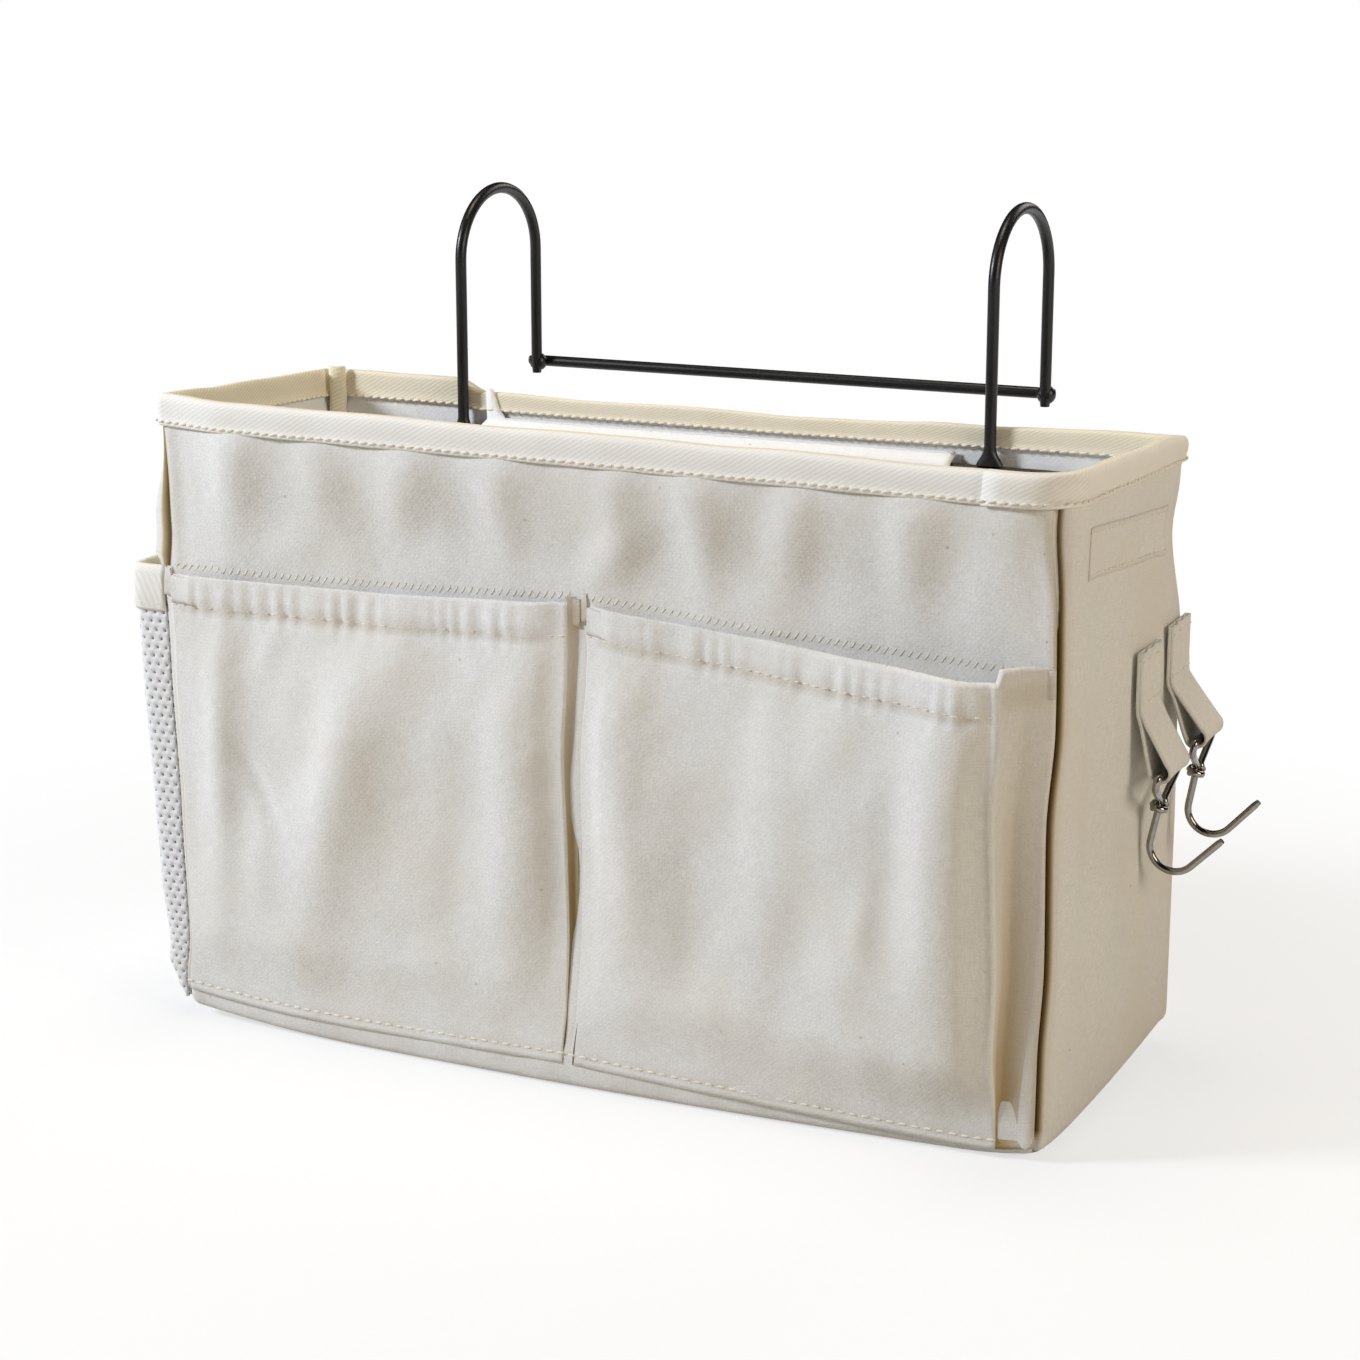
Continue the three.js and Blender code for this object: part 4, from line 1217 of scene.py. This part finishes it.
def alongPlan(points, share):
    lengths = [(b - a).length for a, b in zip(points, points[1:])]
    left = clamp(share) * sum(lengths)
    for a, b, length in zip(points, points[1:], lengths):
        if left <= length:
            return mix(a, b, left / length), (b - a).normalized()
        left -= length
    return points[-1], (points[-1] - points[-2]).normalized()


def netPoint(share, t, low, high, out=0.0):
    place, way = alongPlan(netPlan(t), share)
    facing = Vector((-way.y, way.x))
    place = place + facing * out
    ripple = 0.5 * noise.noise(Vector((place.y * 0.06, t * 5, 2.2)))
    point = settle((place.x * mm + ripple * mm * facing.x, place.y * mm, mix(low, high, t)))
    return point, Vector((facing.x, facing.y, 0))


def makeNet(materials, tools):
    low, high = (corner[2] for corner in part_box("mesh_face"))
    tall = high - low
    width = runLengths(netPlan(1.0))[-1] * mm
    columns = round(width / (net["pitch"] * mm))
    rowCount = round(tall / (net["pitch"] * 0.866 * mm))
    piece = linkPiece("netPocket", bpy.data.meshes.new("netPocket"), None)
    runTool(piece, tools["net"], {"Width": width * net["spare"], "Height": tall * net["spare"],
                                  "Columns": columns, "Rows": rowCount, "Hole": net["hole"],
                                  "Material": materials["net"]})
    for vertex in piece.data.vertices:
        share = clamp(vertex.co.x / width + 0.5)
        vertex.co = netPoint(1 - share, clamp(vertex.co.y / tall + 0.5), low, high)[0]
    thicken(piece, net["yarn"] * mm, offset=0.0)
    piece.data.shade_smooth()
    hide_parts("mesh_face", "mesh_gusset")
    print("net", len(piece.data.polygons), "faces,", columns, "by", rowCount, "holes")

    # its bound top edge: tape folded over the net
    foot = 1 - net["hemHeight"] * mm / tall
    outside = [(0.9, foot), (1.3, foot + 0.004), (1.3, 1.0), (1.0, 1.012)]
    section = outside + [(0.0, 1.018)] + [(-out, t) for out, t in reversed(outside)]
    rows = []
    uvs = []
    stitches = []
    for i in range(net["hemColumns"] + 1):
        share = i / net["hemColumns"]
        rows.append([netPoint(share, min(t, 1.0), low, high, out)[0] + Vector((0, 0, max(t - 1, 0) * tall))
                     for out, t in section])
        # v runs round the section, so the half folded behind the net takes the tape's painted tan shade
        uvs.append([(share * width, k * 3 * mm) for k in range(len(section))])
        stitches.append(netPoint(share, foot + 0.012, low, high, 1.4))
    hem = clothPiece("netHem", rows, uvs, materials["tape"], net["hemCloth"] * mm, offset=0.0)
    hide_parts("mesh_hem")
    sew("netHemStitches", "hem", [stitches[2:-2]], tools, materials)


# Patch and key straps on the right side

def sidePoint(y, z, out):
    flat = Vector((halfWidth + crown * (1 - (y / halfDepth) ** 2), y, z))
    facing = Vector((1, 2 * crown * y / halfDepth ** 2, 0)).normalized()
    return settle(flat) + facing * (wallRelief("right", y, z) + out), facing


sidePatch = {"thick": 0.45, "rearDrop": 5.0, "grid": (8, 30), "offWall": 0.05, "stitchOut": 0.15,
             "stitchIn": 1.6}


def makeSidePatch(materials, tools):
    cut = sidePatch
    low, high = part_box("side_patch")
    down, across = cut["grid"]
    ys = [mix(low[1], high[1], j / across) for j in range(across + 1)]

    def patchRow(z, out):
        return [sidePoint(y, z - cut["rearDrop"] * mm * (y - low[1]) / (high[1] - low[1]),
                          (cut["thick"] + out) * mm) for y in ys]

    heights = [mix(low[2], high[2], i / down) for i in range(down + 1)]
    rows = [[step[0] for step in patchRow(z, cut["offWall"])] for z in heights]
    uvs = [[(y, z) for y in ys] for z in heights]
    patch = clothPiece("sidePatch", rows, uvs, materials["canvas"], cut["thick"] * mm)
    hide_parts("side_patch")
    edge = cut["stitchIn"] * mm
    paths = [patchRow(z, cut["stitchOut"]) for z in (low[2] + edge, high[2] - edge)]
    sew("sidePatchStitches", "patch", paths, tools, materials)


strap = {"width": 22.0, "thick": 1.0, "sewn": 18.0, "eye": 2.6, "columns": 14, "pucker": 0.45, "curl": 0.5,
         "fold": 1.5, "stitchLow": 2.6, "stitchIn": 1.5, "stitchOut": 0.6}


# a strap's hinge, the bar in its eye, the way out from the wall and the way along it
def strapFrame(name):
    hinge = joints[name + "_strap_swing"]
    axis = Vector(hinge["axis"]).normalized()
    bar = Vector(joints[name + "_hook_swing"]["pos_m"])
    return Vector(hinge["pos_m"]), bar, Vector((-axis.y, axis.x, 0)), -axis


def makeStraps(materials, tools):
    up = Vector((0, 0, 1))
    columns = strap["columns"]
    half = strap["thick"] / 2 + 0.05
    wide = strap["eye"] + half
    for name in ("front", "rear"):
        pivot, bar, out, across = strapFrame(name)
        down = (bar - pivot).normalized()
        side = down.cross(across).normalized()
        if side.dot(out) < 0:
            side = -side
        drop = (bar - pivot).length / mm - strap["eye"] + 1.5

        # one layer from its sewn top to the eye, in front (1) or behind (-1)
        def layer(sign):
            found = [pivot + out * sign * half * mm + up * mix(strap["sewn"] + 1.4, 1.6, i / 8) * mm
                     for i in range(9)]
            for i in range(10):
                f = i / 9
                away = mix(half, wide, f ** 1.4)
                found.append(pivot + down * mix(0.6, drop, f) * mm + side * sign * away * mm)
            return found

        path = layer(-1)
        for i in range(1, 12):
            turn = math.pi * i / 12
            deep = drop + wide * math.sin(turn)
            path.append(pivot + down * deep * mm - side * wide * math.cos(turn) * mm)
        path += reversed(layer(1))
        sway = sidePoint(pivot.y, pivot.z + 8 * mm, 0.4 * mm)[0].x - (pivot.x - 1.1 * mm)
        path = [p + Vector((sway * ease(-18 * mm, 0, p.z - pivot.z), 0, 0)) for p in path]
        runs = runLengths(path)
        rows = []
        for i, p in enumerate(path):
            height = (p - pivot).z / mm
            inFront = i > len(path) // 2
            row = []
            for j in range(columns + 1):
                f = j / columns * 2 - 1
                pucker = strap["pucker"] * math.sin(f * 9 + 1.3) * ease(2, 9, height)
                curl = strap["curl"] * f * f * ease(-3, -12, height)
                bend = pucker + curl if inFront else 0.0
                row.append(p + across * f * strap["width"] / 2 * mm + out * bend * mm)
            rows.append(row)
        uvs = [[(j * strap["width"] / columns * mm, run) for j in range(columns + 1)] for run in runs]
        piece = clothPiece(name + "Strap", rows, uvs, materials["canvas"], strap["thick"] * mm, None, 0.0)
        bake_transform(piece)
        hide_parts(name + "_strap_patch", name + "_strap_loop")
        paths = []
        for height in (strap["stitchLow"], strap["sewn"] - strap["stitchIn"]):
            start = pivot + up * height * mm + out * (half + strap["stitchOut"]) * mm + Vector((sway, 0, 0))
            paths.append([(start + across * (k / 10 - 1) * strap["width"] / 2 * mm, out)
                          for k in range(1, 20)])
        sew(name + "StrapStitches", "patch", paths, tools, materials)


# Key hooks: one bent wire each, its end wound round the neck

keyHook = {"wire": 2.4, "sides": 14, "half": 12.95, "drop": 11.5, "shoulder": 4.0, "corner": 2.2,
           "shank": 13.5, "bend": 8.0, "turn": 147.0, "tip": 14.0, "coil": 1.5, "coilRadius": 2.1,
           "coilHeight": 2.6, "thinEnd": 0.8, "lean": {"front": 12.0, "rear": 10.0}}


# corners of a path rounded by short curves
def roundPath(points, corner, steps=6):
    found = [points[0]]
    for before, at, after in zip(points, points[1:], points[2:]):
        reach = min(corner, (before - at).length * 0.45, (after - at).length * 0.45)
        start = at + (before - at).normalized() * reach
        stop = at + (after - at).normalized() * reach
        found += [curved(start, at, stop, k / steps) for k in range(steps + 1)]
    return found + [points[-1]]


# a hook's centre line in mm: ahead, along the bar, down
def keyHookLine():
    hook = keyHook
    drop, half, shoulder = hook["drop"], hook["half"], hook["shoulder"]
    line = []
    for k in range(14, 0, -1):
        turn = 2 * math.pi * hook["coil"] * k / 14
        line.append(Vector((hook["coilRadius"] * math.cos(turn), hook["coilRadius"] * math.sin(turn),
                            drop + hook["coilHeight"] * k / 14 + 0.6)))
    line.append(Vector((0.9, 1.4, drop)))
    bail = [(0.4, 2.2, drop - 0.6), (0, half, shoulder), (0, half, 0), (0, -half, 0), (0, -half, shoulder),
            (0, -1.2, drop - 0.4), (0, 0, drop + 3.0)]
    line += roundPath([Vector(p) for p in bail], hook["corner"])
    bendAt = drop + hook["shank"]
    line += [Vector((0, 0, mix(drop + 4, bendAt, k / 5))) for k in range(1, 6)]
    for k in range(1, 25):
        turn = math.radians(180 + hook["turn"] * k / 24)
        line.append(Vector((hook["bend"] * (1 + math.cos(turn)), 0, bendAt - hook["bend"] * math.sin(turn))))
    rise = math.radians(hook["turn"] - 90)
    last = line[-1]
    for k in range(1, 9):
        reach = hook["tip"] * k / 8
        line.append(Vector((last.x + reach * math.cos(rise), 0, last.z - reach * math.sin(rise))))
    return line


def makeKeyHooks(materials, tools):
    line = keyHookLine()
    for name, degrees in keyHook["lean"].items():
        bar, out, across = strapFrame(name)[1:]
        lean = math.radians(degrees)
        ahead = out * math.cos(lean) - Vector((0, 0, math.sin(lean)))
        fall = -out * math.sin(lean) - Vector((0, 0, math.cos(lean)))
        path = []
        for k, p in enumerate(line):
            place = bar + (ahead * p.x + across * p.y + fall * p.z) * mm
            path.append((place, out, keyHook["thinEnd"] if k in (0, len(line) - 1) else 1.0))
        piece = wire(name + "KeyHook", path, keyHook["wire"], keyHook["sides"], tools, materials["nickel"],
                     name + "_hook")
        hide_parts(name + "_key_hook")


# Wire hanger

hanger = {"wire": 4.0, "sides": 18, "arch": 24.0, "flare": {"left": (3.0, 3.0), "right": (4.8, 6.0)},
          "bead": 3.4, "ringSides": 20, "weldGap": 0.3, "thinEnd": 0.82}


# a closed solid over flat rings of (centre, half width, half depth)
def ringSolid(name, rings, material):
    count = hanger["ringSides"]
    turns = [2 * math.pi * j / count for j in range(count)]
    rows = [[Vector(centre) + Vector((wide * math.cos(turn) * mm, deep * math.sin(turn) * mm, 0))
             for turn in turns] for centre, wide, deep in rings]
    uvs = [[(j * mm, centre[2]) for j in range(count + 1)] for centre, wide, deep in rings]
    return linkPiece(name, tubeMesh(name, rows, uvs), material, None)


def joinInto(piece, *others):
    work = bmesh.new()
    for one in (piece,) + others:
        work.from_mesh(one.data)
    work.to_mesh(piece.data)
    work.free()
    for one in others:
        bpy.data.objects.remove(one)


def makeHanger(materials, tools):
    cut = hanger
    coat = materials["coat"]
    barY, barZ = middleOf("lower_bar")[1:]
    crossY, crossZ = middleOf("cross_bar")[1:]
    rearY = crossY - cut["wire"] * mm - cut["weldGap"] * mm
    for hand in ("left", "right"):
        low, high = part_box(hand + "_hanger_hook")
        x = middleOf(hand + "_hanger_hook")[0]
        spring = high[2] - cut["wire"] / 2 * mm - cut["arch"] * mm
        foot = low[2] if low[2] > barZ + 5 * mm else crossZ - 4 * mm
        points = [Vector((x, barY, mix(barZ + 2.2 * mm, spring, k / 16))) for k in range(16)]
        for k in range(33):
            turn = math.pi * (1 - k / 32)
            points.append(Vector((x, (barY + rearY) / 2 + (rearY - barY) / 2 * math.cos(turn),
                                  spring + cut["arch"] * mm * math.sin(turn))))
        points += [Vector((x, rearY, mix(spring, foot, k / 12))) for k in range(1, 13)]
        path = [(p, (1, 0, 0), 1.0) for p in points[:-1]] + [(points[-1], (1, 0, 0), cut["thinEnd"])]
        piece = wire(hand + "HangerHook", path, cut["wire"], cut["sides"], tools, coat, "hanger")
        wide, tall = cut["flare"][hand]
        flare = [((x, barY, barZ + (2.1 + tall * k / 8) * mm), mix(wide, 2.02, ease(0, 1, k / 8) ** 0.7),
                  mix(2.1, 2.02, k / 8)) for k in range(9)]
        bead = []
        for k in range(11):
            turn = math.pi * k / 10
            bead.append(((x, rearY + 1.2 * mm, crossZ - cut["bead"] * math.cos(turn) * mm),
                         cut["bead"] * math.sin(turn) + 0.05, cut["bead"] * 0.9 * math.sin(turn) + 0.05))
        joinInto(piece, ringSolid("flare", flare, coat), ringSolid("bead", bead, coat))
        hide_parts(hand + "_hanger_hook")
    for node, name in (("lower_bar", "lowerBar"), ("cross_bar", "crossBar")):
        low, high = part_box(node)
        y, z = middleOf(node)[1:]
        girths = [cut["thinEnd"]] + [1.0] * 29 + [cut["thinEnd"]]
        path = [(Vector((mix(low[0], high[0], k / 30), y, z)), (0, 0, 1), girths[k]) for k in range(31)]
        piece = wire(name, path, cut["wire"], cut["sides"], tools, coat, "hanger")
        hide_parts(node)


# Cloth tunnel round the lower bar, with a loose flap at its left end

sleeve = {"left": -0.0955, "right": 0.083, "cloth": 0.8, "round": 3.0, "above": 5.6, "below": 9.0,
          "columns": 72, "offLining": 0.85, "puff": 0.35, "flap": 10.0, "flapWidth": 5.0, "flapOut": 0.6}


def makeSleeve(materials):
    cut = sleeve
    barY, barZ = middleOf("lower_bar")[1:]
    face = backInner - cut["offLining"] * mm
    near = face - 0.6 * mm
    section = [(face, barZ + cut["above"] * mm), (face, barZ + 4.8 * mm), (near, barZ + 3.9 * mm)]
    for k in range(13):
        turn = math.radians(mix(84, -84, k / 12))
        section.append((barY - cut["round"] * math.cos(turn) * mm,
                        barZ + cut["round"] * math.sin(turn) * mm))
    section += [(near, barZ - 4.0 * mm), (face, barZ - 5.0 * mm), (face, barZ - cut["below"] * mm)]
    run = [0.0]
    for a, b in zip(section, section[1:]):
        run.append(run[-1] + math.dist(a, b))
    rows = []
    uvs = []
    for i in range(cut["columns"] + 1):
        x = mix(cut["left"], cut["right"], i / cut["columns"])
        puff = cut["puff"] * mm * noise.noise(Vector((x * 55, 1.0, 4.0)))
        flap = cut["flap"] * mm * (1 - ease(0.5, 1.3, (x - cut["left"]) / mm / cut["flapWidth"]))
        row = [Vector((x, y - max(puff, 0) * ease(0, 2 * mm, face - y), z)) for y, z in section]
        row[0] += Vector((0, -cut["flapOut"] * mm, flap))
        rows.append(row)
        uvs.append([(x, v) for v in run])
    piece = clothPiece("hangerSleeve", rows, uvs, materials["lining"], cut["cloth"] * mm, offset=1.0)
    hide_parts("hanger_sleeve")


# Slanted stitches on the front wall over the pocket mouths

overlock = {"steps": 60, "inset": 4.0, "over": 2.8, "out": 0.1}


def makeOverlock(materials, tools):
    ahead = Vector((0, -1, 0))
    inset = overlock["inset"] * mm
    paths = []
    for hand, pocket in pockets.items():
        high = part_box(hand + "_pocket")[1][2]
        x0, x1 = (c * mm for c in pocket["x"])
        path = []
        for k in range(overlock["steps"] + 1):
            share = k / overlock["steps"]
            x = mix(x0 + inset, x1 - inset, share)
            z = high - (mouthFall(pocket, share) - overlock["over"]) * mm
            out = wallRelief("front", x, z) + overlock["out"] * mm
            path.append((settle((x, -halfDepth, z)) + ahead * out, ahead))
        paths.append(path)
    sew("mouthOverlock", "overlock", paths, tools, materials)


makeCamera()
makeWorld(bpy.context.scene)
makeFloor()
makeLamps()
materials = makeMaterials()
tools = {"stitch": makeStitchTool(), "wire": makeWireTool(), "net": makeNetTool()}
print("camera, studio, materials and tools ready")
makeCanvas(materials)
makeLining(materials)
makeBoards(materials)
makeRimTape(materials, tools)
makeCornerTapes(materials)
makePockets(materials, tools)
makeNet(materials, tools)
makeSidePatch(materials, tools)
makeStraps(materials, tools)
makeKeyHooks(materials, tools)
makeHanger(materials, tools)
makeSleeve(materials)
makeOverlock(materials, tools)
print("all pieces made")
